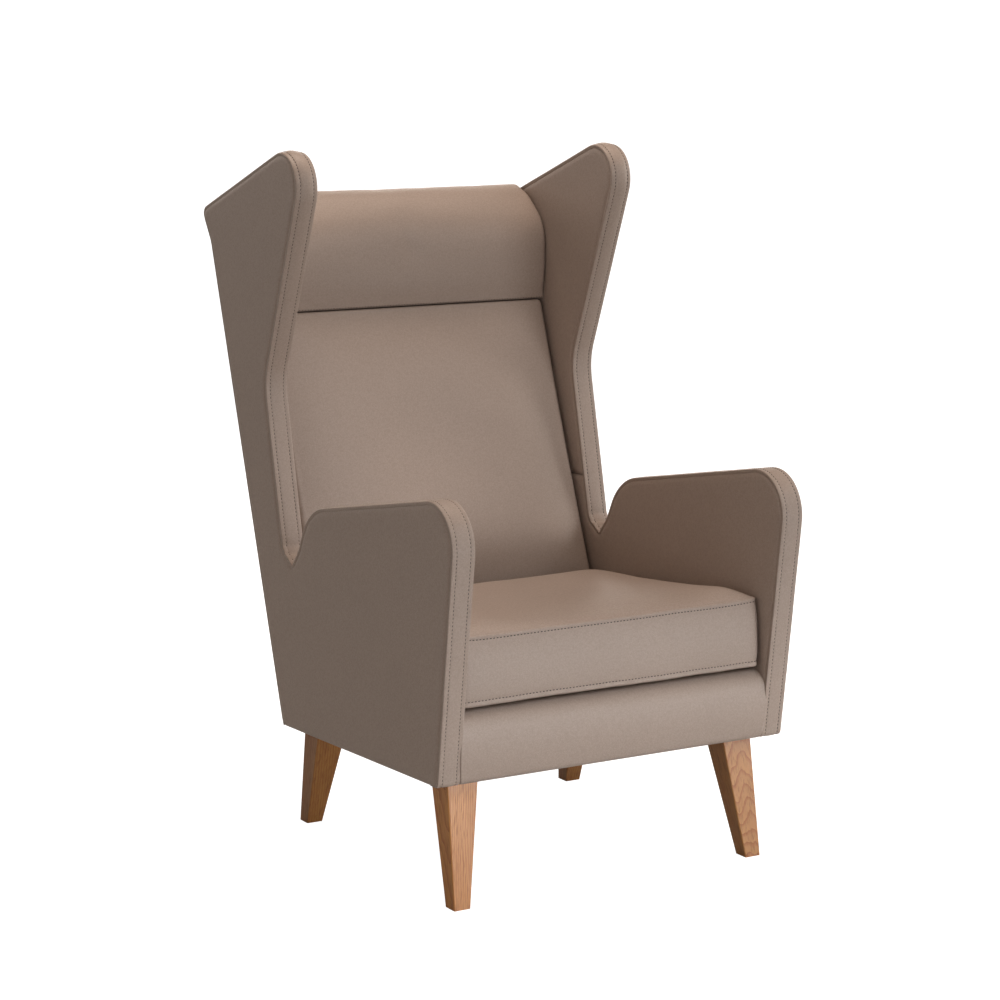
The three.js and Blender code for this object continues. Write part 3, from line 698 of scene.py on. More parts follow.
@dataclass(frozen=True)
class Oak:
    """Lacquered oak: growth rings cut by the leg's faces and open pores as long dark streaks.

    The rings run round a pith that lies outside the leg. The faces that look along the rings' radius show
    straight lines and the others show arches, as on a sawn leg. Each leg has its own pith, so no two match.
    """

    name: str
    lean: tuple[float, float]
    pith: tuple[float, float]
    tilt: float
    ring: float
    # Darkens the whole leg's oak: on the rear legs this is painted shade from the seat above them.
    tone_and_painted_shade: float = 1.0
    light: str = "#c68848"
    dark: str = "#9a5c28"
    pore: str = "#70401c"
    streak: float = 2.0
    streak_share: float = 0.03

    def make(self) -> bpy.types.Material:
        """Builds the material."""
        sheet = Sheet(self.name)
        place = (self.pith[0] * METRES_PER_MM, self.pith[1] * METRES_PER_MM, 0.0)
        turn = (self.tilt - self.lean[1], self.lean[0], 0.0)
        grain = sheet.mapped((1, 1, 1), place, turn)
        wander = sheet.noise(48, detail=2, vector=sheet.vector_math("MULTIPLY", grain, (1, 1, 0.3)))
        pushed = sheet.vector_math("MULTIPLY_ADD", wander, (0.016, 0.016, 0), grain)
        inputs = {"Vector": pushed, "Scale": wave_scale_of(self.ring), "Distortion": 1.0}
        inputs.update({"Detail": 2.0, "Detail Scale": 1.5})
        shape = {"wave_type": "RINGS", "rings_direction": "Z", "wave_profile": "SAW"}
        rings = (sheet.add("ShaderNodeTexWave", inputs, **shape), 1)
        lights = ((0.0, 1.0), (0.6, 0.93))
        darks = ((0.88, 1.35), (0.95, 1.1))
        stops = [(place, linear(self.light, share * self.tone_and_painted_shade)) for place, share in lights]
        stops += [(place, linear(self.dark, share * self.tone_and_painted_shade)) for place, share in darks]
        base = sheet.ramp(rings, [*stops, (1.0, linear(self.light, self.tone_and_painted_shade))])
        drawn_out = sheet.vector_math("MULTIPLY", grain, (1, 1, self.streak_share))
        streaks = sheet.noise(self.streak, detail=3, vector=drawn_out)
        pores = sheet.ranged(streaks, 0.5, 0.68, 0.0, 0.46)
        with_pores = sheet.mix(pores, base, linear(self.pore, self.tone_and_painted_shade))
        blotch = sheet.noise(26, detail=2, vector=sheet.vector_math("MULTIPLY", grain, (1, 1, 0.3)))
        shadow = sheet.ranged(blotch, 0.35, 0.7, 0.0, 0.3)
        shaded = sheet.mix(shadow, with_pores, linear(self.dark, 1.15 * self.tone_and_painted_shade))
        relief = sheet.bump(sheet.math("SUBTRACT", rings, pores), 0.14, 0.6)
        shine = sheet.ranged(streaks, 0.4, 0.7, 0.36, 0.55)
        lacquer = {"Coat Weight": 0.12, "Coat Roughness": 0.3}
        return sheet.surface({"Base Color": shaded, "Roughness": shine, "Normal": relief, **lacquer})


@dataclass(frozen=True)
class Timber:
    """Planed frame timber, unfinished: a soft straight figure and fine flecks. It stays inside the chair."""

    name: str
    light: str
    dark: str
    stretch: tuple[float, float, float]

    def make(self) -> bpy.types.Material:
        """Builds the material."""
        sheet = Sheet(self.name)
        figure = sheet.noise(9, detail=4, vector=sheet.mapped(self.stretch))
        flecks = sheet.noise(2.2, detail=1, vector=sheet.mapped(self.stretch))
        base = sheet.ramp(figure, [(0.3, linear(self.dark)), (0.6, linear(self.light))])
        colour = sheet.mix(sheet.ranged(flecks, 0.6, 0.75, 0.0, 0.5), base, linear(self.dark, 0.8))
        return sheet.surface({"Base Color": colour, "Roughness": 0.68, "Normal": sheet.bump(figure, 0.2)})


@dataclass(frozen=True)
class Plywood:
    """Birch plywood: plies about 1.5 mm thick that show as light and dark lines on the cut edges."""

    name: str
    light: str = "#d6b98d"
    dark: str = "#a07c4e"
    ply: float = 3.0

    def make(self) -> bpy.types.Material:
        """Builds the material."""
        sheet = Sheet(self.name)
        plies = sheet.stripes(self.ply, 0.2, "X")
        face = sheet.noise(14, detail=4, vector=sheet.mapped((1, 1, 0.12)))
        base = sheet.tones(face, self.light, (0.3, 0.86), (0.65, 1.0))
        colour = sheet.mix(sheet.ranged(plies, 0.35, 0.65, 0.0, 0.35), base, linear(self.dark))
        return sheet.surface({"Base Color": colour, "Roughness": 0.7, "Normal": sheet.bump(face, 0.15)})


@dataclass(frozen=True)
class Fibre:
    """Something matt made of fibres or cells: hardboard or foam, by the size of its texture."""

    name: str
    colour: str
    size: float
    depth: float
    feature: str = "F1"

    def make(self) -> bpy.types.Material:
        """Builds the material."""
        sheet = Sheet(self.name)
        cells = sheet.cells(self.size, self.feature)
        patches = sheet.noise(self.size * 9, detail=3)
        base = sheet.tones(patches, self.colour, (0.3, 0.82), (0.7, 1.05))
        colour = sheet.mix(sheet.ranged(cells, 0.0, 0.7, 0.4, 0.0), base, linear(self.colour, 0.6))
        relief = sheet.bump(cells, self.depth, 0.8)
        matt = {"Roughness": 0.93, "Specular IOR Level": 0.2}
        return sheet.surface({"Base Color": colour, "Normal": relief, **matt})


@dataclass(frozen=True)
class Weave:
    """A plain weave: webbing, lining cloth or zip tape.

    The real threads are 0.3 to 1 mm. They are drawn at `pitch`, a little coarser, so that they show.
    """

    name: str
    colour: str
    pitch: float
    depth: float
    stripe: float = 0.0
    stripe_colour: str = "#c8c3b8"

    def make(self) -> bpy.types.Material:
        """Builds the material."""
        sheet = Sheet(self.name)
        crossing = sheet.math("MULTIPLY", *(sheet.stripes(self.pitch, 0.6, axis) for axis in ("X", "Y")))
        fluff = sheet.noise(self.pitch * 6, detail=3)
        base = sheet.tones(fluff, self.colour, (0.3, 0.75), (0.7, 1.15))
        colour = sheet.mix(sheet.ranged(crossing, 0.0, 0.5, 0.6, 0.0), base, linear(self.colour, 0.45))
        if self.stripe:
            stripes = sheet.ranged(sheet.stripes(self.stripe, 0.0, "Y"), 0.9, 1.0, 0.0, 0.5)
            colour = sheet.mix(stripes, colour, linear(self.stripe_colour))
        relief = sheet.bump(crossing, self.depth, 0.9)
        return sheet.surface({"Base Color": colour, "Roughness": 0.85, "Normal": relief, "Sheen Weight": 0.1})


@dataclass(frozen=True)
class Zinc:
    """Bright zinc plate with faint scratches and slightly cloudy patches."""

    name: str
    colour: str = "#bcc0c2"

    def make(self) -> bpy.types.Material:
        """Builds the material."""
        sheet = Sheet(self.name)
        cloud = sheet.noise(6, detail=4)
        scratch = sheet.noise(0.7, detail=2, vector=sheet.mapped((1, 1, 0.08)))
        colour = sheet.tones(cloud, self.colour, (0.3, 0.8), (0.7, 1.0))
        shine = sheet.ranged(scratch, 0.35, 0.7, 0.24, 0.42)
        relief = sheet.bump(scratch, 0.02, 0.5)
        return sheet.surface({"Base Color": colour, "Metallic": 1.0, "Roughness": shine, "Normal": relief})


@dataclass(frozen=True)
class StudioWhite:
    """The studio's white sweep: matt, faintly mottled paper that glows like a backdrop lit from behind."""

    name: str
    paper: str = "#a3a2a0"
    glow: float = 0.93

    def make(self) -> bpy.types.Material:
        """Builds the material."""
        sheet = Sheet(self.name)
        patches = sheet.noise(900, detail=2)
        colour = sheet.tones(patches, self.paper, (0.3, 0.98), (0.7, 1.02))
        matt = {"Roughness": 0.95, "Specular IOR Level": 0.1}
        glow = {"Emission Color": (1, 1, 1, 1), "Emission Strength": self.glow}
        return sheet.surface({"Base Color": colour, **matt, **glow})


Finish = bpy.types.Material
BEECH_COLOURS = ("#d8b88e", "#b8905f")


@dataclass
class Finishes:
    """Every material of the chair, made once."""

    leather: Finish = field(default_factory=Leather("faux_leather", "#a8968a").make)
    thread: Finish = field(default_factory=Thread("sewing_thread", "#3a2f29").make)
    foam: Finish = field(default_factory=Fibre("foam", "#e6dfc6", 1.6, 0.4, "SMOOTH_F1").make)
    lining: Finish = field(default_factory=Weave("lining_cloth", "#262525", 1.4, 0.12).make)
    webbing: Finish = field(default_factory=Weave("webbing", "#3c3b39", 2.2, 0.4, 17).make)
    zip_tape: Finish = field(default_factory=Weave("zip_tape", "#6f6055", 0.8, 0.1).make)
    zinc: Finish = field(default_factory=Zinc("zinc_plate").make)
    beech: Finish = field(default_factory=Timber("beech", *BEECH_COLOURS, (0.06, 1, 1)).make)
    beech_upright: Finish = field(default_factory=Timber("beech_upright", *BEECH_COLOURS, (1, 1, 0.06)).make)
    plywood: Finish = field(default_factory=Plywood("plywood").make)
    hardboard: Finish = field(default_factory=Fibre("hardboard", "#8a6443", 1.2, 0.1).make)


# Stitches


@dataclass(frozen=True)
class Stitch:
    """One stitch of a row, in millimetres. Real thread is 0.7 mm thick, drawn a little thicker to show."""

    pitch: float = 6.6
    length: float = 3.9
    radius: float = 0.55
    sides: int = 6
    along_shares: tuple[float, ...] = (-0.5, -0.36, 0.0, 0.36, 0.5)
    lifts: tuple[float, ...] = (-0.55, 0.0, 0.16, 0.0, -0.55)
    girth_shares: tuple[float, ...] = (0.55, 0.95, 1.0, 0.95, 0.55)


def walk(path: Points, ups: Points, pitch: float) -> tuple[Points, Points, Points]:
    """Steps along a line at an even pitch.

    Args:
        path: the line's points.
        ups: the surface's normal at each point.
        pitch: the step in millimetres.

    Returns:
        For each step: the place, the direction along the line and the normal.
    """
    travelled = distances_along(path)
    places = np.arange(pitch / 2, travelled[-1], pitch)
    near = 1.0

    def read(values: Points, at: np.ndarray) -> Points:
        """Reads three columns of values at distances along the line."""
        return np.stack([np.interp(at, travelled, values[:, i]) for i in range(3)], axis=1)

    along = unit_rows(read(path, places + near) - read(path, places - near))
    up = read(ups, places)
    up = unit_rows(up - along * np.sum(up * along, axis=1, keepdims=True))
    return read(path, places), along, up


def stitch_row(name: str, path: Points, ups: Points, stitch: Stitch = Stitch()) -> bpy.types.Object:
    """Sews a row of stitches along a line on a surface.

    Args:
        name: the object's name.
        path: the line in millimetres.
        ups: the surface's normal at each point of the line.
        stitch: the stitch.

    Returns:
        One mesh with every stitch of the row.
    """
    at, along, up = walk(path, ups, stitch.pitch)
    sideways = np.cross(along, up)
    angles = np.arange(stitch.sides) / stitch.sides * math.tau
    template = []
    for share, lift, girth in zip(stitch.along_shares, stitch.lifts, stitch.girth_shares):
        for angle in angles:
            reach = stitch.radius * girth
            template.append((share * stitch.length, lift + reach * math.cos(angle), reach * math.sin(angle)))
    shape = np.array(template)
    faces_of_one = tube_faces(len(stitch.along_shares), stitch.sides)
    points = at[:, None] + along[:, None] * shape[None, :, 0:1]
    points = points + up[:, None] * shape[None, :, 1:2]
    points = points + sideways[:, None] * shape[None, :, 2:3]
    faces = []
    for i in range(len(at)):
        first = i * len(shape)
        faces.extend(tuple(first + corner for corner in face) for face in faces_of_one)
    return mesh_object(name, points.reshape(-1, 3), faces)


SMOOTHING_ROUNDS = 3
SEWING_STEP = 3.0


def snapped(made: bpy.types.Object, path: Points) -> tuple[Points, Points]:
    """Moves a line onto a mesh's surface.

    Args:
        made: the mesh object.
        path: the line in millimetres.

    Returns:
        The line and the surface's normal at each of its points.
    """
    corners = [vertex.co for vertex in made.data.vertices]
    tree = BVHTree.FromPolygons(corners, [tuple(face.vertices) for face in made.data.polygons])
    places, ups = [], []
    for point in path:
        found, normal, _, _ = tree.find_nearest(Vector(point) * METRES_PER_MM)
        places.append(np.array(found) * MM_PER_METRE)
        ups.append(np.array(normal))
    smooth = np.array(ups)
    for _ in range(SMOOTHING_ROUNDS):
        padded = np.concatenate([smooth[:1], smooth, smooth[-1:]])
        smooth = unit_rows(padded[:-2] + padded[1:-1] * 2 + padded[2:])
    return np.array(places), smooth


# The padded sides


@dataclass(frozen=True)
class Panel:
    """A flat outline cut into a mesh whose points crowd together at its edge."""

    flat: Points
    triangles: Faces
    distance: np.ndarray

    ring_distances = (1.1, 2.8, 5.0, 8.0, 12.0, 17.0, 24.0)
    ring_slack = 0.05
    pitch = 15.0
    row_share = 0.87
    least_gap = 1.0
    merge_gap = 1e-4

    @classmethod
    def cut(cls, outline: Points) -> "Panel":
        """Cuts a panel.

        Args:
            outline: the closed outline, one pair per row.

        Returns:
            The panel.
        """
        ahead = np.roll(outline, -1, axis=0) - np.roll(outline, 1, axis=0)
        inward = unit_rows(right_of(ahead))
        keeps = []
        for distance in cls.ring_distances:
            ring = outline + inward * distance
            keeps.append(ring[distance_to(outline, ring) > distance - cls.ring_slack])
        low, high = outline.min(axis=0), outline.max(axis=0)
        columns = np.arange(low[0], high[0], cls.pitch)
        rows = np.arange(low[1], high[1], cls.pitch * cls.row_share)
        shifts = [cls.pitch / 2 * (i % 2) for i in range(len(rows))]
        grid = np.array([(x + shift, row) for shift, row in zip(shifts, rows) for x in columns])
        grid = grid[inside(outline, grid)]
        grid = grid[distance_to(outline, grid) > cls.ring_distances[-1] + cls.pitch / 3]
        loose = np.concatenate([*keeps, grid])
        _, first = np.unique(np.round(loose / cls.least_gap).astype(int), axis=0, return_index=True)
        loose = loose[np.sort(first)]
        loose = loose[inside(outline, loose)]
        everything = np.concatenate([outline, loose])
        edges = [(i, (i + 1) % len(outline)) for i in range(len(outline))]
        inside_only = 1
        corners = [Vector(point) for point in everything]
        cut = geometry.delaunay_2d_cdt(corners, edges, [], inside_only, cls.merge_gap)
        flat = np.array([tuple(corner) for corner in cut[0]])
        triangles = [tuple(face) for face in cut[2]]
        return cls(flat, triangles, distance_to(outline, flat))


def distance_to(outline: Points, points: Points) -> np.ndarray:
    """The distance from each point to a closed outline."""
    ends = np.roll(outline, -1, axis=0)
    run = ends - outline
    length2 = np.maximum(np.sum(run * run, axis=1), 1e-12)
    result = np.empty(len(points))
    chunk = 400  # Points at a time, to keep the arrays small.
    for start in range(0, len(points), chunk):
        some = points[start : start + chunk]
        offset = some[:, None] - outline[None]
        share = np.clip(np.sum(offset * run[None], axis=2) / length2, 0, 1)
        gap = offset - run[None] * share[..., None]
        result[start : start + chunk] = np.sqrt(np.min(np.sum(gap * gap, axis=2), axis=1))
    return result


def inside(outline: Points, points: Points) -> np.ndarray:
    """Which points lie inside a closed outline."""
    ends = np.roll(outline, -1, axis=0)
    result = np.zeros(len(points), bool)
    for start, end in zip(outline, ends):
        spans = (start[1] > points[:, 1]) != (end[1] > points[:, 1])
        rise = end[1] - start[1]
        if rise == 0:
            continue
        crossing = start[0] + (points[:, 1] - start[1]) * (end[0] - start[0]) / rise
        result ^= spans & (points[:, 0] < crossing)
    return result


@dataclass(frozen=True)
class PanelShape:
    """How a cover lies over the foam at its edge, in millimetres."""

    seam_drop: float = 4.2
    roll: float = 13.0
    roll_power: float = 2.6
    crown: float = 0.8
    crown_reach: float = 120.0
    ripple: Ripple = Ripple(0.45, 22.0)
    ripple_start: float = 3.0
    ripple_reach: float = 14.0
    sway: Ripple = Ripple(0.8, 130.0, 9.0)
    wall: float = 7.0

    def heights(self, panel: Panel, seed: float) -> np.ndarray:
        """How far each point of the panel stands out of the face."""
        near = np.clip(1 - panel.distance / self.roll, 0, 1)
        place = with_third(panel.flat)
        started = np.minimum(panel.distance / self.ripple_start, 1)
        ripples = self.ripple.at(place, seed) * np.exp(-panel.distance / self.ripple_reach) * started
        swell = 1 - np.exp(-panel.distance / self.crown_reach)
        sway = self.sway.at(place, seed) * swell
        height = -self.seam_drop * near**self.roll_power + self.crown * swell
        return height + ripples + sway


def panel_object(
    name: str, panel: Panel, face: float, outward: int, shape: PanelShape, seed: float
) -> bpy.types.Object:
    """Makes a padded side panel.

    Args:
        name: the object's name.
        panel: its cut.
        face: X of the cover's face.
        outward: 1 or -1, the sign of X on the side that the cover faces.
        shape: how it lies at its edge.
        seed: moves its unevenness.

    Returns:
        A closed body with the crowned cover on its face.
    """
    top = in_side_plane(panel.flat, face + outward * shape.heights(panel, seed))
    work = bmesh.new()
    verts = [work.verts.new(tuple(point)) for point in top]
    for triangle in panel.triangles:
        work.faces.new([verts[i] for i in triangle])
    rim = [edge for edge in work.edges if edge.is_boundary]
    grown = bmesh.ops.extrude_edge_only(work, edges=rim)
    new_edges = [item for item in grown["geom"] if isinstance(item, bmesh.types.BMEdge)]
    for item in grown["geom"]:
        if isinstance(item, bmesh.types.BMVert):
            item.co.x = face - outward * shape.wall
    bmesh.ops.holes_fill(work, edges=new_edges, sides=0)
    points = np.array([tuple(v.co) for v in work.verts])
    work.verts.index_update()
    faces = [tuple(v.index for v in f.verts) for f in work.faces]
    work.free()
    return mesh_object(name, points, faces)


@dataclass
class PaddedSide:
    """One upholstered side: the outer panel, the inner arm and wing panels, and the edge band round them."""

    side: Side
    finishes: Finishes

    seam_inset = 4.1
    top_inset = 2.2
    rear_inset = 0.6
    bottom_inset = 0.4
    seam_gap = 0.5
    tuck_depth = 41.8
    ledge_drop = 17.0
    ledge_back = 14.0
    outer_seed = 3.0
    inner_seed = 21.0

    def build(self) -> None:
        """Builds the panels and the band."""
        self.build_outer()
        self.build_inner()
        EdgeBand(self.side, self.finishes).build()

    def build_outer(self) -> None:
        """The cover on the outside."""
        banded = [self.seam_inset] * (len(BANDED) - 1)
        rear = [self.top_inset, self.rear_inset, self.rear_inset, self.bottom_inset]
        corners = inset(PROFILE, [*banded, *rear])
        panel = Panel.cut(rounded(corners, PROFILE_SPACING))
        name = f"side_panel_{self.side.label}"
        sign = self.side.value
        made = panel_object(name, panel, sign * OUTER_FACE, sign, PanelShape(), self.outer_seed)
        replaced = [f"outer_cover_{self.side.label}", f"outer_foam_{self.side.label}"]
        dress(made, Body.CHAIR, self.finishes.leather, replaced)

    def build_inner(self) -> None:
        """The arm and wing covers inside, sewn together by a short level seam just above the arm."""
        tuck_foot = back_point(0, self.tuck_depth).point
        top = meeting(WING_TIP.point, heading(WING_TIP, CROWN), tuck_foot, BACK_ALONG)
        level = np.array((1.0, 0.0))
        seam = np.array((0.0, COVER_SEAM_HEIGHT))
        seam_front = Corner(*meeting(NOTCH_KINK.point, heading(NOTCH_KINK, WAIST), seam, level))
        seam_back = Corner(*meeting(tuck_foot, BACK_ALONG, seam, level))
        deck_along = np.array((math.cos(SEAT_PITCH), -math.sin(SEAT_PITCH)))
        deck = np.array((0.0, DECK_FRONT_HEIGHT - self.ledge_drop))
        tuck = Corner(*meeting(tuck_foot, BACK_ALONG, deck, deck_along))
        ledge = Corner(*(deck + deck_along * self.ledge_back))
        base_up = FOOT.up + (HEEL.up - FOOT.up) / HEEL.back * self.ledge_back
        arm_line = BANDED[: BANDED.index(WAIST)]
        arm = [*arm_line, seam_front, seam_back, tuck, ledge, Corner(self.ledge_back, base_up)]
        arm_insets = [self.seam_inset] * len(arm_line) + [self.seam_gap, 0, 0, 0, self.bottom_inset]
        wing = [seam_front, WAIST, WING_TIP, Corner(*top), seam_back]
        wing_insets = [self.seam_inset] * 3 + [0, self.seam_gap]
        shape = PanelShape(seam_drop=3.4, crown=0.5, sway=Ripple(0.6, 130.0, 9.0))
        face = self.side.value * INNER_FACE
        for word, corners, insets in (("arm", arm, arm_insets), ("wing", wing, wing_insets)):
            panel = Panel.cut(rounded(inset(corners, insets), PROFILE_SPACING))
            name = f"inner_{word}_{self.side.label}"
            made = panel_object(name, panel, face, -self.side.value, shape, self.inner_seed)
            replaced = [f"inner_{word}_cover_{self.side.label}"]
            if word == "arm":
                replaced.append(f"inner_foam_{self.side.label}")
            dress(made, Body.CHAIR, self.finishes.leather, replaced)


@dataclass
class EdgeBand:
    """The strip sewn round each wing and arm: two seams, two top-stitched rows and a softly crowned middle.

    Its section is measured in from the band's edge and out of the profile.
    """

    side: Side
    finishes: Finishes

    # Half of its section, from the seam to the middle: (in, out).
    half_section = (
        (1.7, -6.8), (1.5, -4.2), (0.8, -2.7), (0.7, -1.6), (1.2, -0.7), (2.4, -0.2), (4.2, 0.0),
        (6.2, -0.1), (7.5, -0.25), (8.3, -0.5), (9.0, -0.65), (9.7, -0.5), (10.6, -0.2), (12.2, 0.0),
        (14.8, 0.2), (18.2, 0.35), (22.0, 0.4),
    )
    stitch_inset = 9.0
    stitch_sink = 0.6
    tuck_under = 26.0
    over_crown = 62.0
    end_dive = 9.0
    end_dive_reach = 56.0
    wing_crown = 3.4
    wing_crown_heights = (760.0, 1120.0)
    wing_crown_power = 1.2
    shown_from = -3.0
    side_seed = 5.0
    pucker = Ripple(0.22, 8.0)
    pucker_reach = 5.0
    sway = Ripple(0.4, 70.0, 4.0)
    crease_reach = 30.0
    crease_wander = Ripple(1.6, 26.0)
    crease_lip = 0.45
    crease_lip_place = 2.6
    crease_lip_width = 1.6
    # Folds at the notch: (how many reaches past its point, depth, half width).
    crease_table = ((0.0, 1.3, 1.8), (1.0, 1.7, 2.6), (-1.0, 1.2, 2.4), (1.7, 0.5, 4.0), (0.5, 0.6, 2.2))

    def path(self) -> Points:
        """The line round the side that the band follows, from under its foot to behind the crown."""
        under = heading(FOOT, HEEL)
        behind = heading(CROWN, NAPE)
        start = Corner(*(FOOT.point + under * self.tuck_under))
        end = Corner(*(CROWN.point + behind * self.over_crown))
        return rounded([start, *BANDED, CROWN, end], PROFILE_SPACING, closed=False)

    def creases(self, path: Points) -> list[tuple[float, float, float]]:
        """Folds across the band at the notch: (distance along the path, depth, half width)."""
        nearest = np.argmin(np.linalg.norm(path - NOTCH_POINT.point, axis=1))
        at_point = distances_along(path)[nearest]
        return [(at_point + self.crease_reach * far, depth, width) for far, depth, width in self.crease_table]

    def build(self) -> None:
        """Builds the band and its stitches."""
        path = self.path()
        travelled = distances_along(path)
        outward = -right_of(unit_rows(np.gradient(path, axis=0)))
        half = [(BAND_HALF - inward, out) for inward, out in self.half_section]
        section = np.array([(-w, n) for w, n in half] + [(w, n) for w, n in reversed(half[:-1])])
        edge_in = BAND_HALF - np.abs(section[:, 0])
        fullness = np.sin(np.clip(edge_in / BAND_HALF, 0, 1) * math.pi / 2) ** self.wing_crown_power
        creases = self.creases(path)
        low, high = self.wing_crown_heights
        crowns = self.wing_crown * np.clip((path[:, 1] - low) / (high - low), 0, 1)
        dives = self.end_dive * np.clip(1 - (travelled[-1] - travelled) / self.end_dive_reach, 0, 1)
        across = self.side.value * (SIDE_MIDDLE + section[:, 0])
        sections = []
        for i, place in enumerate(path):
            lift = self.unevenness(section, travelled[i], creases) + crowns[i] * fullness
            out = section[:, 1] + np.where(section[:, 1] > self.shown_from, lift, 0) - dives[i]
            sections.append(in_side_plane(place + outward[i] * out[:, None], across))
        made = swept_object(f"band_{self.side.label}", sections)
        dress(made, Body.CHAIR, self.finishes.leather, [f"edge_band_{self.side.label}"])
        at_stitches = math.sin(self.stitch_inset / BAND_HALF * math.pi / 2) ** self.wing_crown_power
        self.sew(path, outward, crowns * at_stitches - dives - self.stitch_sink)

    def unevenness(self, section: Points, travelled: float, creases: Sequence[tuple]) -> np.ndarray:
        """How far the band stands out at one place for its puckers, its sway and the folds at the notch.

        Args:
            section: the band's section, (across, out) pairs.
            travelled: how far along the path the place is.
            creases: the folds.

        Returns:
            One lift per point of the section.
        """
        place = np.stack([section[:, 0], np.full(len(section), travelled), np.zeros(len(section))], axis=1)
        seed = self.side_seed * self.side.value
        from_stitches = BAND_HALF - np.abs(section[:, 0]) - self.stitch_inset
        lift = self.pucker.at(place, seed) * bell(from_stitches, self.pucker_reach)
        lift += self.sway.at(place, seed)
        for centre, depth, width in creases:
            bent = travelled - centre + self.crease_wander.at(place, centre)
            from_lip = np.abs(bent) - width * self.crease_lip_place
            lift += depth * self.crease_lip * bell(from_lip, width * self.crease_lip_width)
            lift -= depth * bell(bent, width)
        return lift

    def sew(self, path: Points, outward: Points, rise: np.ndarray) -> None:
        """The two rows of top-stitching."""
        for word, sign in (("inner", -1), ("outer", 1)):
            across = self.side.value * (SIDE_MIDDLE + sign * (BAND_HALF - self.stitch_inset))
            line = in_side_plane(path + outward * rise[:, None], across)
            ups = np.column_stack((np.zeros(len(path)), outward))
            made = stitch_row(f"band_stitches_{word}_{self.side.label}", line, ups)
            dress(made, Body.CHAIR, self.finishes.thread)


# Boxed cushions


@dataclass(frozen=True)
class Plan:
    """A cushion's plan: a rounded rectangle whose sides are drawn in, cut into a grid."""

    half_width: float
    half_depth: float
    radius: float
    draws: tuple[float, float, float, float]
    rear_shrink_share: float = 1.0
    pitch: float = 9.0
    edge_steps: tuple[float, ...] = (0.0, 2.6, 6.0, 11.0, 18.0)

    least_radius = 1.0
    draw_power = 0.8
    rear_power = 4

    def shares(self, length: float) -> np.ndarray:
        """Where the grid's lines lie along a side, from 0 to 1, crowded together at both ends."""
        inner = length - 2 * self.edge_steps[-1]
        count = max(2, round(inner / self.pitch))
        middle = self.edge_steps[-1] + inner * np.arange(1, count) / count
        ends = np.array(self.edge_steps)
        return np.concatenate([ends, middle, length - ends[::-1]]) / length

    def side_points(self, shares: np.ndarray, run: float, reach: float, shrink: float, draw: float) -> Points:
        """One side of the outline, from the middle of one corner's arc to the middle of the next.

        Args:
            shares: the places along it, from 0 to 1.
            run: half the side's length.
            reach: how far the side lies from the middle of the plan.
            shrink: how far in from the outline.
            draw: how far in the side's middle is drawn.

        Returns:
            (along, out) pairs.
        """
        radius = max(self.radius - shrink, self.least_radius)
        straight = 2 * (run - shrink - radius)
        arc = radius * math.pi / 4
        total = straight + 2 * arc
        points = []
        for share in shares:
            gone = share * total
            into_arc = max(arc - gone, gone - arc - straight, 0.0)
            if into_arc > 0:
                angle = into_arc / radius
                side = math.copysign(1, gone - arc)
                x = side * (straight / 2 + radius * math.sin(angle))
                y = reach - shrink - radius * (1 - math.cos(angle))
            else:
                x = gone - arc - straight / 2
                y = reach - shrink
            y -= draw * math.sin(math.pi * share) ** self.draw_power
            points.append((x, y))
        return np.array(points)

    def loop(self, shrink: float) -> Points:
        """The closed outline, anticlockwise from the middle of the front left corner's arc."""
        us = self.shares(2 * self.half_width)
        vs = self.shares(2 * self.half_depth)
        across, deep = (us, self.half_width, self.half_depth), (vs, self.half_depth, self.half_width)
        sides = [self.side_points(*way, shrink, draw) for way, draw in zip((across, deep) * 2, self.draws)]
        front, right, rear, left = sides
        parts = [
            np.stack([front[:, 0], -front[:, 1]], axis=1),
            np.stack([right[:, 1], right[:, 0]], axis=1),
            np.stack([-rear[:, 0], rear[:, 1]], axis=1),
            np.stack([-left[:, 1], -left[:, 0]], axis=1),
        ]
        loop = np.concatenate([part[:-1] for part in parts])
        rearness = np.clip(loop[:, 1] / self.half_depth, 0, 1) ** self.rear_power
        loop[:, 1] += shrink * (1 - self.rear_shrink_share) * rearness
        return loop

    def grid(self, loop: Points) -> Points:
        """Fills a closed outline with a grid: rows of constant depth, front to rear, by Coons' patch."""
        us = self.shares(2 * self.half_width)
        vs = self.shares(2 * self.half_depth)
        nu, nv = len(us) - 1, len(vs) - 1
        closed = np.concatenate([loop, loop[:1]])
        front = closed[: nu + 1]
        right = closed[nu : nu + nv + 1]
        rear = closed[nu + nv : 2 * nu + nv + 1][::-1]
        left = closed[2 * nu + nv :][::-1]
        u = us[None, :, None]
        v = vs[:, None, None]
        ruled_v = (1 - v) * front[None] + v * rear[None]
        ruled_u = (1 - u) * left[:, None] + u * right[:, None]
        corners = (1 - u) * (1 - v) * front[0] + u * (1 - v) * front[-1]
        corners = corners + (1 - u) * v * rear[0] + u * v * rear[-1]
        return ruled_u + ruled_v - corners

    def counts(self) -> tuple[int, int]:
        """How many grid points along the width and along the depth."""
        return len(self.shares(2 * self.half_width)), len(self.shares(2 * self.half_depth))


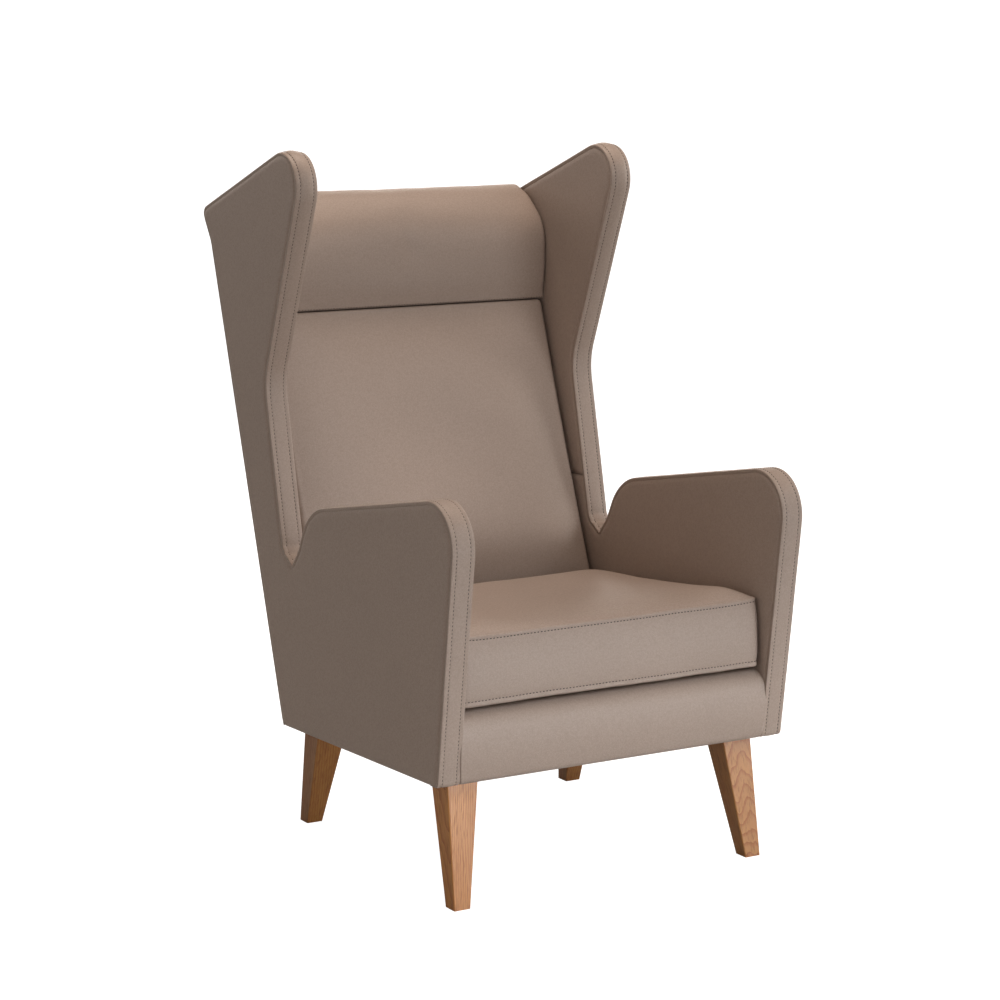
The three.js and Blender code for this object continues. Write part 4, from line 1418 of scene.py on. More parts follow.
@dataclass
class BoxedBody:
    """A closed padded body on a plan: a flat base, border rings and a crowned top."""

    plan: Plan
    border: Sequence[tuple[float, float]]
    crown: float
    crown_reach: float
    height_at: Callable[[Points], np.ndarray]

    def __post_init__(self) -> None:
        """Counts the grid's points and finds its rim."""
        self.columns, self.rows = self.plan.counts()
        self.base = np.arange(self.columns * self.rows)
        self.rim = grid_rim(self.rows, self.columns)

    def points(self) -> Points:
        """Every point: the base grid, the border's rings, then the top grid, in the cushion's own frame."""
        parts = []
        first_shrink, first_up = self.border[0]
        base = self.plan.grid(self.plan.loop(first_shrink)).reshape(-1, 2)
        parts.append(with_third(base, first_up))
        for shrink, up in self.border[1:-1]:
            loop = self.plan.loop(shrink)
            share = up / self.border[-1][1]
            heights = up + share * self.height_at(loop)
            parts.append(np.column_stack((loop, heights)))
        last_shrink, last_up = self.border[-1]
        top = self.plan.grid(self.plan.loop(last_shrink)).reshape(-1, 2)
        inward = [
            np.maximum(half - last_shrink - np.abs(top[:, i]), 0)
            for i, half in enumerate((self.plan.half_width, self.plan.half_depth))
        ]
        rise = np.prod([1 - np.exp(-d / self.crown_reach) for d in inward], axis=0)
        heights = last_up + self.height_at(top) + self.crown * rise
        parts.append(np.column_stack((top, heights)))
        return np.concatenate(parts)

    @property
    def top_start(self) -> int:
        """The number of the top grid's first point."""
        return len(self.base) + (len(self.border) - 2) * len(self.rim)

    def ring(self, number: int) -> np.ndarray:
        """The points of one border ring: 0 is the base's rim and the last is the top's."""
        if number == 0:
            return self.rim
        if number in (-1, len(self.border) - 1):
            return self.rim + self.top_start
        first = len(self.base) + (number - 1) * len(self.rim)
        return np.arange(first, first + len(self.rim))

    def faces(self) -> Faces:
        """Every face."""
        faces = strip_faces(self.rows, self.columns)
        for number in range(len(self.border) - 1):
            faces.extend(wall_faces(self.ring(number), self.ring(number + 1)))
        faces.extend(strip_faces(self.rows, self.columns, self.top_start))
        return faces


@dataclass(frozen=True)
class Inflation:
    """Settings of a cloth simulation that fills a cover."""

    pressure: float = 4.0
    frames: int = 20
    cap: float = 24.0
    growth: float = 0.003
    stiffness: float = 18.0
    bending: float = 1.2
    quality: int = 6
    mass: float = 0.4
    evening: int = 6

    def run(self, made: bpy.types.Object, pinned: Sequence[int]) -> None:
        """Inflates a closed mesh and keeps the result.

        Args:
            made: the mesh object.
            pinned: the points that stay, which are those of its seams.
        """
        before = points_of(made)
        group = made.vertex_groups.new(name="pinned")
        group.add([int(i) for i in pinned], 1.0, "REPLACE")
        cloth = made.modifiers.new("Cloth", "CLOTH")
        settings = cloth.settings
        settings.vertex_group_mass = group.name
        settings.use_pressure = True
        settings.uniform_pressure_force = self.pressure
        settings.effector_weights.gravity = 0
        settings.quality = self.quality
        settings.mass = self.mass
        settings.tension_stiffness = self.stiffness
        settings.compression_stiffness = self.stiffness
        settings.bending_stiffness = self.bending
        settings.shrink_min = -self.growth
        cloth.point_cache.frame_start = 1
        cloth.point_cache.frame_end = self.frames
        scene = bpy.context.scene
        for number in range(1, self.frames + 1):
            scene.frame_set(number)
        after = points_of(made.evaluated_get(bpy.context.evaluated_depsgraph_get()))
        made.modifiers.remove(cloth)
        made.vertex_groups.remove(group)
        scene.frame_set(1)
        move = after - before
        length = np.linalg.norm(move, axis=1, keepdims=True)
        capped = move * np.minimum(1, self.cap / np.maximum(length, 1e-9))
        set_points(made, before + self.evened(made, capped, pinned))
        log.info("%s: simulated, moved %.1f mm at most", made.name, float(length.max()))

    def evened(self, made: bpy.types.Object, move: Points, pinned: Sequence[int]) -> Points:
        """Averages each point's move with its neighbours', so that broad swelling stays and creases go."""
        ends = np.array([tuple(edge.vertices) for edge in made.data.edges])
        count = np.maximum(np.bincount(ends.ravel(), minlength=len(move)), 1)[:, None]
        for _ in range(self.evening):
            total = np.zeros_like(move)
            np.add.at(total, ends[:, 0], move[ends[:, 1]])
            np.add.at(total, ends[:, 1], move[ends[:, 0]])
            move = (move + total / count) / 2
            move[np.asarray(pinned)] = 0
        return move


@dataclass
class SeatCushion:
    """The loose boxed cushion: a crowned top, a drawn-in border, two sewn edges and a zip at the rear."""

    finishes: Finishes

    half_width = 301.5
    half_depth = 260.5
    radius = 11.0
    lift = 0.6
    # How far the front edge stands up at its left and right ends, low and high on the border.
    front_rise = (4.0, 4.5, 7.5)
    draws = (0.0, 4.0, 0.0, 4.0)
    rise_reach = 110.0
    rise_foot = 10.0
    rise_height = 100.0
    # Border rings from the base up: (in from the plan's outline, height).
    border = (
        (6.0, 0.6), (3.0, 0.9), (1.0, 2.4), (0.0, 5.0), (0.5, 8.4), (1.9, 10.4), (0.6, 12.4), (-0.6, 19.0),
        (-1.6, 31.0), (-2.2, 45.0), (-2.4, 60.0), (-2.2, 75.0), (-1.5, 90.0), (-0.4, 102.0), (0.4, 109.0),
        (1.7, 112.0), (0.4, 114.4), (0.0, 117.0), (1.6, 118.8), (2.6, 118.2), (3.4, 119.2),
    )
    low_stitch_ring = 5
    high_stitch_ring = 15
    # The rings that the simulation may move, which are those of the border's middle.
    free_rings = (8, 14)
    zip_reach = 6.0
    zip_height = 100.0
    crown = 25.0
    crown_reach = 15.0
    mid_height = 145.5
    shoulder = 8.0
    shoulder_place = 46.0
    shoulder_reach = 40.0
    shoulder_side_start = 14.0
    shoulder_end_start = 50.0
    shoulder_fade = 320.0
    pucker = Ripple(0.6, 17.0, 6.0)
    pucker_start = 4.0
    pucker_reach = 16.0
    swell = Ripple(1.4, 160.0, 8.0)
    swell_start = 60.0
    front_ripple = Ripple(1.1, 48.0, 3.0)
    corner_rise = 2.6
    corner_reach = 34.0
    seam_wander = Ripple(1.1, 90.0, 2.0)

    def seam_sway(self, flat: Points) -> np.ndarray:
        """The sewn edge rises a little at the corners and wanders between them."""
        from_side, from_end = self.from_edges(flat)
        corner = np.exp(-np.hypot(from_side, from_end) / self.corner_reach)
        return self.corner_rise * corner + self.seam_wander.at(with_third(flat))

    def from_edges(self, flat: Points) -> tuple[np.ndarray, np.ndarray]:
        """How far points of the plan lie in from its nearer side and from its nearer end."""
        return self.half_width - np.abs(flat[:, 0]), self.half_depth - np.abs(flat[:, 1])

    def build(self) -> None:
        """Builds the cushion, sews it and adds the zip."""
        plan = Plan(self.half_width, self.half_depth, self.radius, self.draws)
        body = BoxedBody(plan, self.border, self.crown, self.crown_reach, self.seam_sway)
        local = body.points()
        local[:, 1] += CUSHION_SETBACK + self.half_depth
        local[:, 2] += self.lift
        made = mesh_object("seat_cushion_pad", on_seat(local), body.faces())
        Inflation(pressure=4.0, cap=26).run(made, self.pinned(body, local))
        self.settle(made, body)
        self.raise_front(made)
        shaped = points_of(made)
        low_ring = shaped[body.ring(self.low_stitch_ring)]
        high_ring = shaped[body.ring(self.high_stitch_ring)]
        subdivide(made)
        dress(made, Body.CUSHION, self.finishes.leather, ["cushion_cover", "cushion_core"])
        for word, ring in (("lower", low_ring), ("upper", high_ring)):
            line, ups = snapped(made, subdivided(ring, SEWING_STEP, closed=True))
            row = stitch_row(f"cushion_stitches_{word}", line, ups, Stitch(radius=0.85))
            dress(row, Body.CUSHION, self.finishes.thread)
        CushionZip(self.finishes).build()

    def pinned(self, body: BoxedBody, local: Points) -> np.ndarray:
        """The points that the simulation keeps: the base, the seams and the place of the zip."""
        first_free, first_high = self.free_rings
        kept = [*range(first_free), *range(first_high, len(self.border))]
        middle = np.concatenate([body.ring(i) for i in range(first_free, first_high)])
        at_rear = local[middle, 1] > self.half_depth * 2 - self.zip_reach
        at_zip = middle[at_rear & (local[middle, 2] < self.zip_height)]
        return np.unique(np.concatenate([body.base, *(body.ring(i) for i in kept), at_zip]))

    def settle(self, made: bpy.types.Object, body: BoxedBody) -> None:
        """Brings the crown to its height and adds the small puckers along the sewn edge."""
        points = points_of(made)
        top = body.base + body.top_start
        up = np.array((0.0, math.sin(SEAT_PITCH), math.cos(SEAT_PITCH)))
        base = points[body.ring(1)].mean(axis=0)
        heights = (points - base) @ up
        seam = heights[body.ring(-1)].mean()
        middle = heights[top].max()
        share = (self.mid_height - seam) / max(middle - seam, 1)
        lift = np.maximum(heights[top] - seam, 0) * (share - 1)
        points[top] += lift[:, None] * up
        flat = body.points()[top]
        level = flat * (1, 1, 0)
        from_side, from_end = self.from_edges(flat)
        inward = np.minimum(from_side, from_end)
        fade = np.exp(-inward / self.pucker_reach) * np.clip(inward / self.pucker_start, 0, 1)
        puckers = self.pucker.at(level) * fade
        broad = self.swell.at(level) * np.clip(inward / self.swell_start, 0, 1)
        shoulder = self.shoulder * bell(from_side - self.shoulder_place, self.shoulder_reach)
        shoulder *= np.clip(from_side / self.shoulder_side_start, 0, 1)
        shoulder *= np.clip(from_end / self.shoulder_end_start, 0, 1)
        shoulder *= np.clip((self.half_depth - flat[:, 1]) / self.shoulder_fade, 0, 1)
        points[top] += (puckers + broad + shoulder)[:, None] * up
        set_points(made, points)

    def raise_front(self, made: bpy.types.Object) -> None:
        """Lets the front edge stand up a little, more to the right, so that a dark gap shows under it."""
        points = points_of(made)
        front = points[:, 1].min()
        near = bell(points[:, 1] - front, self.rise_reach)
        across = np.clip(points[:, 0] / self.half_width, -1, 1) / 2 + 0.5
        up = np.clip((points[:, 2] - DECK_FRONT_HEIGHT - self.rise_foot) / self.rise_height, 0, 1)
        left, low, high = self.front_rise
        rise = left + across * (low + (high - low) * up - left)
        rise += self.front_ripple.at(points * (1, 0, 0)) * (1 - up)
        points[:, 2] += rise * near
        set_points(made, points)


def squared_ring(
    centre: Sequence[float], half_height: float, half_depth: float, sides: int, power: float
) -> Points:
    """A ring across X, between a circle and a rectangle in form.

    Args:
        centre: its middle in millimetres.
        half_height: half its size along Z.
        half_depth: half its size along Y.
        sides: how many points it has.
        power: 1 for an ellipse, and less for squarer corners.

    Returns:
        The ring's points.
    """
    ring = []
    for angle in np.linspace(0, math.tau, sides, endpoint=False):
        up = math.copysign(abs(math.cos(angle)) ** power, math.cos(angle)) * half_height
        out = math.copysign(abs(math.sin(angle)) ** power, math.sin(angle)) * half_depth
        ring.append((centre[0], centre[1] + out, centre[2] + up))
    return np.array(ring)


@dataclass
class CushionZip:
    """The zip across the cushion's rear border: a woven tape, a coil of teeth and a slider with its pull."""

    finishes: Finishes

    coil = Stitch(pitch=1.9, length=1.3, radius=0.55)
    coil_shift = 1.1
    coil_lift = 0.25
    # The tape's section: (share of its half height, how far it stands out).
    tape_section = ((-1, -2.4), (-1, 0.0), (-0.55, 0.35), (0, 0.2), (0.55, 0.35), (1, 0.0), (1, -2.4))
    tape_turn = 2.5
    tape_stations = 90
    slider_gap = 0.1
    slider_height = 1.9
    bridge_height = 0.9
    waist_shares = (0.72, 0.24)
    slider_sections = 13
    slider_sides = 16
    slider_squareness = 0.5
    pull_sections = 14
    pull_sides = 12
    pull_length = 19.0
    pull_top = 1.5
    pull_widths = (2.1, 1.3, 0.5)
    pull_thickness = 0.7
    pull_bows = (3.3, 1.4)

    def build(self) -> None:
        """Builds the tape, the teeth and the slider."""
        tape = Box.of("cushion_zip")
        slider = Box.of("zip_slider")
        face = max(tape.high[1], slider.low[1])
        self.build_tape(tape, face)
        self.build_slider(slider, face)

    def build_tape(self, tape: Box, face: float) -> None:
        """The tape, a shallow strip whose edges are sewn down, and the coil along its middle."""
        middle = (tape.low[2] + tape.high[2]) / 2
        half = (tape.high[2] - tape.low[2]) / 2 + self.tape_turn
        stations = np.linspace(tape.low[0], tape.high[0], self.tape_stations)
        section = [(face + out, middle + share * half) for share, out in self.tape_section]
        made = swept_object("zip_tape", [np.array([(x, y, z) for y, z in section]) for x in stations])
        dress(made, Body.CUSHION, self.finishes.zip_tape, ["cushion_zip"])
        line = np.array([(x, face + self.coil_lift, middle) for x in stations])
        ups = np.tile((0.0, 1.0, 0.0), (len(line), 1))
        for word, shift in (("upper", self.coil_shift), ("lower", -self.coil_shift)):
            teeth = stitch_row(f"zip_teeth_{word}", line + (0, 0, shift), ups, self.coil)
            dress(teeth, Body.CUSHION, self.finishes.zip_tape)

    def build_slider(self, slider: Box, face: float) -> None:
        """The slider: a waisted plate with a bridge, and a pull that hangs from it."""
        middle = (slider.low + slider.high) / 2
        half_length = (slider.high[0] - slider.low[0]) / 2
        half_height = (slider.high[2] - slider.low[2]) / 2
        foot = face + self.slider_gap
        narrow, flare = self.waist_shares
        sections = []
        for share in np.linspace(-1, 1, self.slider_sections):
            waist = half_height * (narrow + flare * share * share)
            top = face + self.slider_height + self.bridge_height * (1 - share * share)
            centre = (middle[0] + share * half_length, (foot + top) / 2, middle[2])
            form = (waist, (top - foot) / 2, self.slider_sides, self.slider_squareness)
            sections.append(squared_ring(centre, *form))
        body = swept_object("zip_slider_body", sections)
        dress(body, Body.SLIDER, self.finishes.zinc, ["zip_slider"])
        least, belly, growth = self.pull_widths
        bow, straightening = self.pull_bows
        sections = []
        for share in np.linspace(0, 1, self.pull_sections):
            width = least + belly * math.sin(share * math.pi) ** 2 + growth * share
            thick = self.pull_thickness * math.sqrt(max(1 - (2 * share - 1) ** 8, 0.02))
            out = face + bow - straightening * share
            height = middle[2] + self.pull_top - share * self.pull_length
            angles = np.linspace(0, math.tau, self.pull_sides, endpoint=False)
            ring = [(middle[0] + width * math.cos(a), out + thick * math.sin(a), height) for a in angles]
            sections.append(np.array(ring))
        pull = swept_object("zip_pull", sections)
        dress(pull, Body.SLIDER, self.finishes.zinc)


@dataclass
class InnerBack:
    """The padded inner back: a crowned panel whose sides are tucked in beside the arms and wings."""

    finishes: Finishes

    half_width = 305.0
    start = 185.0
    end = 755.6
    low_thickness = 64.0
    high_thickness = 38.0
    # Rings from the frame forwards: (in from the plan's outline, share of the way to the front edge).
    border_shares = (
        (0.6, 0.0), (0.4, 0.12), (0.4, 0.35), (1.3, 0.58), (3.6, 0.77), (6.6, 0.89), (9.8, 0.96), (13.4, 1.0),
    )
    corner_radius = 13.0
    draws = (2.0, 2.5, 0.0, 2.5)
    rear_shrink_share = 0.3
    edge_steps = (0.0, 4.0, 9.0, 15.0)
    crown = 7.0
    crown_reach = 50.0

    def build(self) -> None:
        """Builds the panel."""
        half_depth = (self.end - self.start) / 2
        outline = (self.half_width, half_depth, self.corner_radius, self.draws)
        plan = Plan(*outline, self.rear_shrink_share, edge_steps=self.edge_steps)
        thickness = (self.low_thickness + self.high_thickness) / 2
        slope = (self.high_thickness - self.low_thickness) / 2 / half_depth
        border = [(shrink, share * thickness) for shrink, share in self.border_shares]
        body = BoxedBody(plan, border, self.crown, self.crown_reach, lambda flat: flat[:, 1] * slope)
        local = body.points()
        local[:, 1] += (self.start + self.end) / 2
        local[:, 2] += WEBBING_FACE
        made = mesh_object("inner_back", on_back(local), body.faces())
        fixed = [body.base, *(body.ring(i) for i in range(1, len(border) - 1))]
        Inflation(pressure=2.0, cap=14, growth=0.001).run(made, np.unique(np.concatenate(fixed)))
        subdivide(made)
        dress(made, Body.CHAIR, self.finishes.leather, ["inner_back_cover", "back_foam"])


@dataclass
class HeadRoll:
    """The head roll: a full round section over the top of the back, sewn along its foot, with soft ends."""

    finishes: Finishes

    section_corners = (
        back_point(ROLL_FOOT_ALONG, WEBBING_FACE),
        back_point(ROLL_FOOT_ALONG + 0.2, 80.5, 2),
        back_point(792, 104, 190),
        back_point(890, 137, 80),
        back_point(961, 94, 60),
        back_point(999, 50, 32),
    )
    half_width = 304.8
    end_roll = 10.0
    end_steps = 6
    top_droop = 0.9
    droop_place = 60.0
    droop_reach = 45.0
    pitch = 8.0
    free_rise = 26.0
    pucker = Ripple(0.45, 15.0, 40.0)
    pucker_reach = 11.0
    stitch_rise = 3.4
    stitch_ends = 3
    pinned_ends = 5

    def section(self) -> list[Corner]:
        """The closed section: up its front and down the frame behind it."""
        board = back_point(0, BOARD_FACE).point
        heel_top = meeting(board, BACK_ALONG, WING_TIP.point, heading(WING_TIP, CROWN))
        frame_side = [
            Corner(*heel_top),
            back_point(FRAME_TOP_ALONG, BOARD_FACE),
            back_point(FRAME_TOP_ALONG, WEBBING_FACE),
        ]
        return [*self.section_corners, *frame_side]

    def build(self) -> None:
        """Builds the roll and its sewn foot."""
        flat = rounded(self.section(), self.pitch)
        seam = self.nearest(flat, 1)
        top = self.nearest(flat, len(self.section_corners))
        inward = right_of(unit_rows(np.roll(flat, -1, axis=0) - np.roll(flat, 1, axis=0)))
        travelled = distances_along(flat)
        from_seam = travelled - travelled[seam]
        to_top = travelled[top] - travelled
        freedom = np.clip(from_seam / self.free_rise, 0, 1) ** 0.5 * np.clip(to_top / self.free_rise, 0, 1)
        freedom = freedom * (1 + self.top_droop * bell(to_top - self.droop_place, self.droop_reach))
        near_seam = np.exp(-np.maximum(from_seam, 0) / self.pucker_reach) * (from_seam > 1) * (to_top > 0)
        sections = []
        for x, tuck in rolled_stations(self.half_width, self.end_roll, self.end_steps, self.pitch):
            pucker = self.pucker.at(with_third(flat, x)) * near_seam
            sections.append(in_side_plane(flat + inward * (tuck * freedom + pucker)[:, None], x))
        made = swept_object("head_roll", sections)
        numbers = np.arange(len(sections) * len(flat)).reshape(len(sections), len(flat))
        ends = [numbers[: self.pinned_ends], numbers[-self.pinned_ends :]]
        fixed = [part.ravel() for part in (*ends, numbers[:, top - 2 :], numbers[:, : seam + 2])]
        Inflation(pressure=2.5, cap=10, growth=0.002).run(made, np.unique(np.concatenate(fixed)))
        after_seam = int(np.argmin(np.abs(from_seam - self.stitch_rise)))
        seam_row = points_of(made)[numbers[self.stitch_ends : -self.stitch_ends, after_seam]]
        subdivide(made)
        dress(made, Body.CHAIR, self.finishes.leather, ["head_roll_cover", "head_roll_foam"])
        line, ups = snapped(made, subdivided(seam_row, SEWING_STEP, closed=False))
        row = stitch_row("head_roll_stitches", line, ups, Stitch(pitch=6.0, length=3.6, radius=0.5))
        dress(row, Body.CHAIR, self.finishes.thread)

    def nearest(self, flat: Points, corner: int) -> int:
        """The number of the point nearest to one of the section's corners."""
        return int(np.argmin(np.linalg.norm(flat - self.section()[corner].point, axis=1)))


@dataclass
class FrontBorder:
    """The padded border across the front: soft at its top edge, full in the middle, bowed out at its ends."""

    finishes: Finishes

    lean = 3.0
    top_radius = 25.0
    bottom_radius = 9.0
    lip = 62.0
    underlap = 26.0
    swell = 8.5
    swell_power = 0.85
    unevenness = Ripple(0.6, 130.0, 12.0)
    bow = 5.5
    bow_reach = 70.0
    side_gap = 0.5
    end_roll = 2.6
    end_steps = 4
    pitch = 9.0

    def build(self) -> None:
        """Builds the border."""
        bottom = FOOT.up
        slope = (HEEL.up - FOOT.up) / HEEL.back
        tan = math.tan(SEAT_PITCH)
        corners = [
            Corner(0, bottom, self.bottom_radius),
            Corner(-self.lean, DECK_FRONT_HEIGHT + self.lean * tan, self.top_radius),
            Corner(self.lip, DECK_FRONT_HEIGHT - self.lip * tan),
            Corner(self.underlap, bottom + slope * self.underlap),
        ]
        flat = rounded(corners, self.pitch)
        stations = rolled_stations(INNER_FACE - self.side_gap, self.end_roll, self.end_steps, self.pitch)
        made = swept_object("front_border", [self.section(flat, x, tuck) for x, tuck in stations])
        subdivide(made)
        replaced = ["front_border_cover", "front_border_foam"]
        dress(made, Body.CHAIR, self.finishes.leather, replaced)

    def section(self, flat: Points, x: float, tuck: float) -> Points:
        """The border's section at one X, drawn in by the tuck at its rolled end."""
        inward = right_of(unit_rows(np.roll(flat, -1, axis=0) - np.roll(flat, 1, axis=0)))
        height = np.clip((flat[:, 1] - FOOT.up) / (DECK_FRONT_HEIGHT - FOOT.up), 0, 1)
        front = np.clip(1 - flat[:, 0] / self.underlap, 0, 1)
        front = front * front * (3 - 2 * front)
        place = np.stack([np.full(len(flat), x), flat[:, 0], flat[:, 1]], axis=1)
        full = np.sin(height * math.pi) ** self.swell_power * front
        swell = self.swell * full + self.unevenness.at(place) * front
        moved = flat + inward * (tuck * front)[:, None] - np.stack([swell, np.zeros(len(flat))], axis=1)
        edge = np.clip((abs(x) - INNER_FACE + self.bow_reach) / self.bow_reach, 0, 1) ** 2
        return in_side_plane(moved, x + math.copysign(1, x) * self.bow * full * edge)


@dataclass
class OuterBack:
    """The outer back: a padded sheet over the hardboard, and its curl over the top behind the roll."""

    finishes: Finishes

    thickness = 4.5
    pitch = 14.0
    side_gap = 0.8
    edge_steps = (0.0, 0.8, 2.0, 4.0, 7.0, 11.0, 16.0)
    edge_zone = 24.0
    crown = 2.0
    crown_reach = 90.0
    side_drop = 2.6
    end_drop = 1.4
    side_roll = 12.0
    roll_power = 2.3
    sway = Ripple(0.9, 140.0, 31.0)
    board_gap = 0.3
    curl_gap = 0.6
    curl_pitch = 3.0
    curl_start = 9
    curl_thickness = 2.2
    curl_sway = Ripple(0.6, 40.0, 17.0)
    curl_sink = 0.2

    def build(self) -> None:
        """Builds the sheet and the curl."""
        line, turn = self.line_over_crown(self.pitch)
        spine = line[: turn + 1]
        half = OUTER_FACE - self.side_gap
        edge = np.array(self.edge_steps)
        reach = half - self.edge_zone
        inner = np.linspace(-reach, reach, round(2 * half / self.pitch))
        stations = np.concatenate([-half + edge, inner, half - edge[::-1]])
        lifts = [self.lift(spine, x, half) for x in stations]
        made = self.sheet("outer_back", spine, stations, lifts, self.thickness)
        replaced = ["outer_back_cover", "back_padding"]
        dress(made, Body.CHAIR, self.finishes.leather, replaced)
        self.build_curl()

    def lift(self, spine: Points, x: float, half: float) -> np.ndarray:
        """How far the padded sheet stands out along its spine at one X, given half its width."""
        travelled = distances_along(spine)
        from_ends = np.minimum(travelled, travelled[-1] - travelled)
        from_side = half - abs(x)
        near_side = np.clip(1 - from_side / self.side_roll, 0, 1)
        near_end = np.clip(1 - from_ends / self.side_roll, 0, 1)
        full = (1 - math.exp(-from_side / self.crown_reach)) * (1 - np.exp(-from_ends / self.crown_reach))
        sway = self.sway.at(with_third(spine, x)) * (1 - near_side)
        drop = self.side_drop * near_side**self.roll_power + self.end_drop * near_end**self.roll_power
        return self.crown * full + sway - drop

    def sheet(
        self, name: str, spine: Points, stations: np.ndarray, lifts: Sequence[np.ndarray], thickness: float
    ) -> bpy.types.Object:
        """A sheet along a spine in the plane of the side.

        Args:
            name: the object's name.
            spine: its section, (back, up) pairs from the bottom up.
            stations: X of each column of points.
            lifts: for each station, how far its points stand out.
            thickness: how far its back lies behind the spine.

        Returns:
            The closed body.
        """
        outward = right_of(unit_rows(np.gradient(spine, axis=0)))
        behind = (spine - outward * thickness)[::-1]
        sections = []
        for x, lift in zip(stations, lifts):
            sections.append(in_side_plane(np.concatenate([spine + outward * lift[:, None], behind]), x))
        return swept_object(name, sections)

    def line_over_crown(self, spacing: float) -> tuple[Points, int]:
        """The line up the back, round the crown and forward to the head roll, and the point at the crown."""
        front = back_point(0, BOARD_FACE - self.board_gap).point
        front_top = meeting(front, BACK_ALONG, WING_TIP.point, heading(WING_TIP, CROWN))
        line = rounded([HEEL, NAPE, CROWN, Corner(*front_top)], spacing, closed=False)
        return line, int(np.argmin(np.linalg.norm(line - CROWN.point, axis=1)))

    def build_curl(self) -> None:
        """The cover's top end, which comes over the crown and tucks in behind the head roll."""
        line, turn = self.line_over_crown(self.curl_pitch)
        spine = line[turn - self.curl_start :]
        half = INNER_FACE - self.curl_gap
        stations = np.linspace(-half, half, round(2 * half / self.pitch))
        lifts = [self.curl_sway.at(with_third(spine, x)) - self.curl_sink for x in stations]
        made = self.sheet("outer_back_curl", spine, stations, lifts, self.curl_thickness)
        dress(made, Body.CHAIR, self.finishes.leather)


# The deck and the underside


CLOTH_THICKNESS = 0.6
WRINKLES = Ripple(0.5, 60.0)
WRINKLE_POWER = 0.3


def cloth_sheet(name: str, corners: Points, sag: float, pitch: float, seed: float) -> bpy.types.Object:
    """A stretched sheet of cloth between four corners.

    Args:
        name: the object's name.
        corners: front left, front right, rear right and rear left, in millimetres.
        sag: how far its middle hangs.
        pitch: the size of its mesh.
        seed: moves its creases.

    Returns:
        The closed sheet.
    """
    width = np.linalg.norm(corners[1] - corners[0])
    length = np.linalg.norm(corners[3] - corners[0])
    us = np.linspace(0, 1, round(width / pitch) + 1)
    vs = np.linspace(0, 1, round(length / pitch) + 1)
    u, v = np.meshgrid(us, vs)
    u, v = u.ravel()[:, None], v.ravel()[:, None]
    plane = (1 - u) * (1 - v) * corners[0] + u * (1 - v) * corners[1]
    plane = plane + u * v * corners[2] + (1 - u) * v * corners[3]
    bowl = (np.sin(u * math.pi) * np.sin(v * math.pi))[:, 0]
    plane[:, 2] += WRINKLES.at(plane, seed) * bowl**WRINKLE_POWER - sag * bowl
    below = plane - (0, 0, CLOTH_THICKNESS)
    columns, rows = len(us), len(vs)
    rim = grid_rim(rows, columns)
    faces = strip_faces(rows, columns) + strip_faces(rows, columns, columns * rows)
    faces.extend(wall_faces(rim, rim + columns * rows))
    return mesh_object(name, np.concatenate([plane, below]), faces)


@dataclass
class Deck:
    """What carries the cushion: a foam pad under a black lining cloth."""

    finishes: Finishes

    start = 63.6
    end = 566.0
    half = 305.2
    cloth_drop = 0.05
    pad_drop = 13.1
    pad_radius = 5.0
    pad_gap = 0.5
    pad_crown = 0.4
    pad_crown_reach = 30.0
    # The pad's rings from the base up: (in from its outline, height).
    pad_border = ((1.5, 0.0), (0.2, 1.5), (0.0, 5.0), (0.4, 8.5), (1.8, 10.0))

    def build(self) -> None:
        """Builds the cloth and the pad."""
        half, start, end = self.half, self.start, self.end
        flat = np.array([(-half, start), (half, start), (half, end), (-half, end)])
        corners = on_seat(with_third(flat, -self.cloth_drop))
        cloth = cloth_sheet("deck_lining", corners, sag=0.5, pitch=12, seed=3)
        dress(cloth, Body.CHAIR, self.finishes.lining, ["deck_cloth"])
        outline = (half - self.pad_gap, (end - start) / 2, self.pad_radius, (0, 0, 0, 0))
        plan = Plan(*outline, pitch=24.0, edge_steps=(0.0, 3.0))
        rings = (self.pad_border, self.pad_crown, self.pad_crown_reach)
        body = BoxedBody(plan, *rings, lambda points: np.zeros(len(points)))
        local = body.points()
        local[:, 1] += (start + end) / 2
        local[:, 2] -= self.pad_drop
        pad = mesh_object("deck_padding", on_seat(local), body.faces())
        dress(pad, Body.CHAIR, self.finishes.foam, ["deck_pad"])


@dataclass
class Underside:
    """The black dust cloth under the seat box, stapled round its edge."""

    finishes: Finishes

    staple = Stitch(pitch=38.0, length=10.0, radius=0.45, lifts=(-0.5, 0.3, 0.35, 0.3, -0.5))
    staple_inset = 9.0
    staple_step = 10.0
    side_hem = 1.0
    end_hem = 0.5

    def build(self) -> None:
        """Builds the cloth and its staples."""
        node = Box.of("dust_cloth")
        low, high = node.low, node.high
        left, right = low[0] + self.side_hem, high[0] - self.side_hem
        front = (low[1], high[2] - self.end_hem)
        rear = (high[1], low[2] + self.end_hem)
        corners = np.array([(left, *front), (right, *front), (right, *rear), (left, *rear)])
        cloth = cloth_sheet("under_lining", corners, sag=1.0, pitch=14, seed=8)
        dress(cloth, Body.CHAIR, self.finishes.lining, ["dust_cloth"])
        middle = corners.mean(axis=0)
        step = (self.staple_inset, self.staple_inset, 0.0)
        shrunk = [corner - np.sign(corner - middle) * step - (0, 0, CLOTH_THICKNESS) for corner in corners]
        line = subdivided(np.array([*shrunk, shrunk[0]]), self.staple_step, closed=False)
        ups = np.tile((0.0, 0.0, -1.0), (len(line), 1))
        row = stitch_row("dust_cloth_staples", line, ups, self.staple)
        dress(row, Body.CHAIR, self.finishes.zinc)


# CAD nodes that stay, with better materials


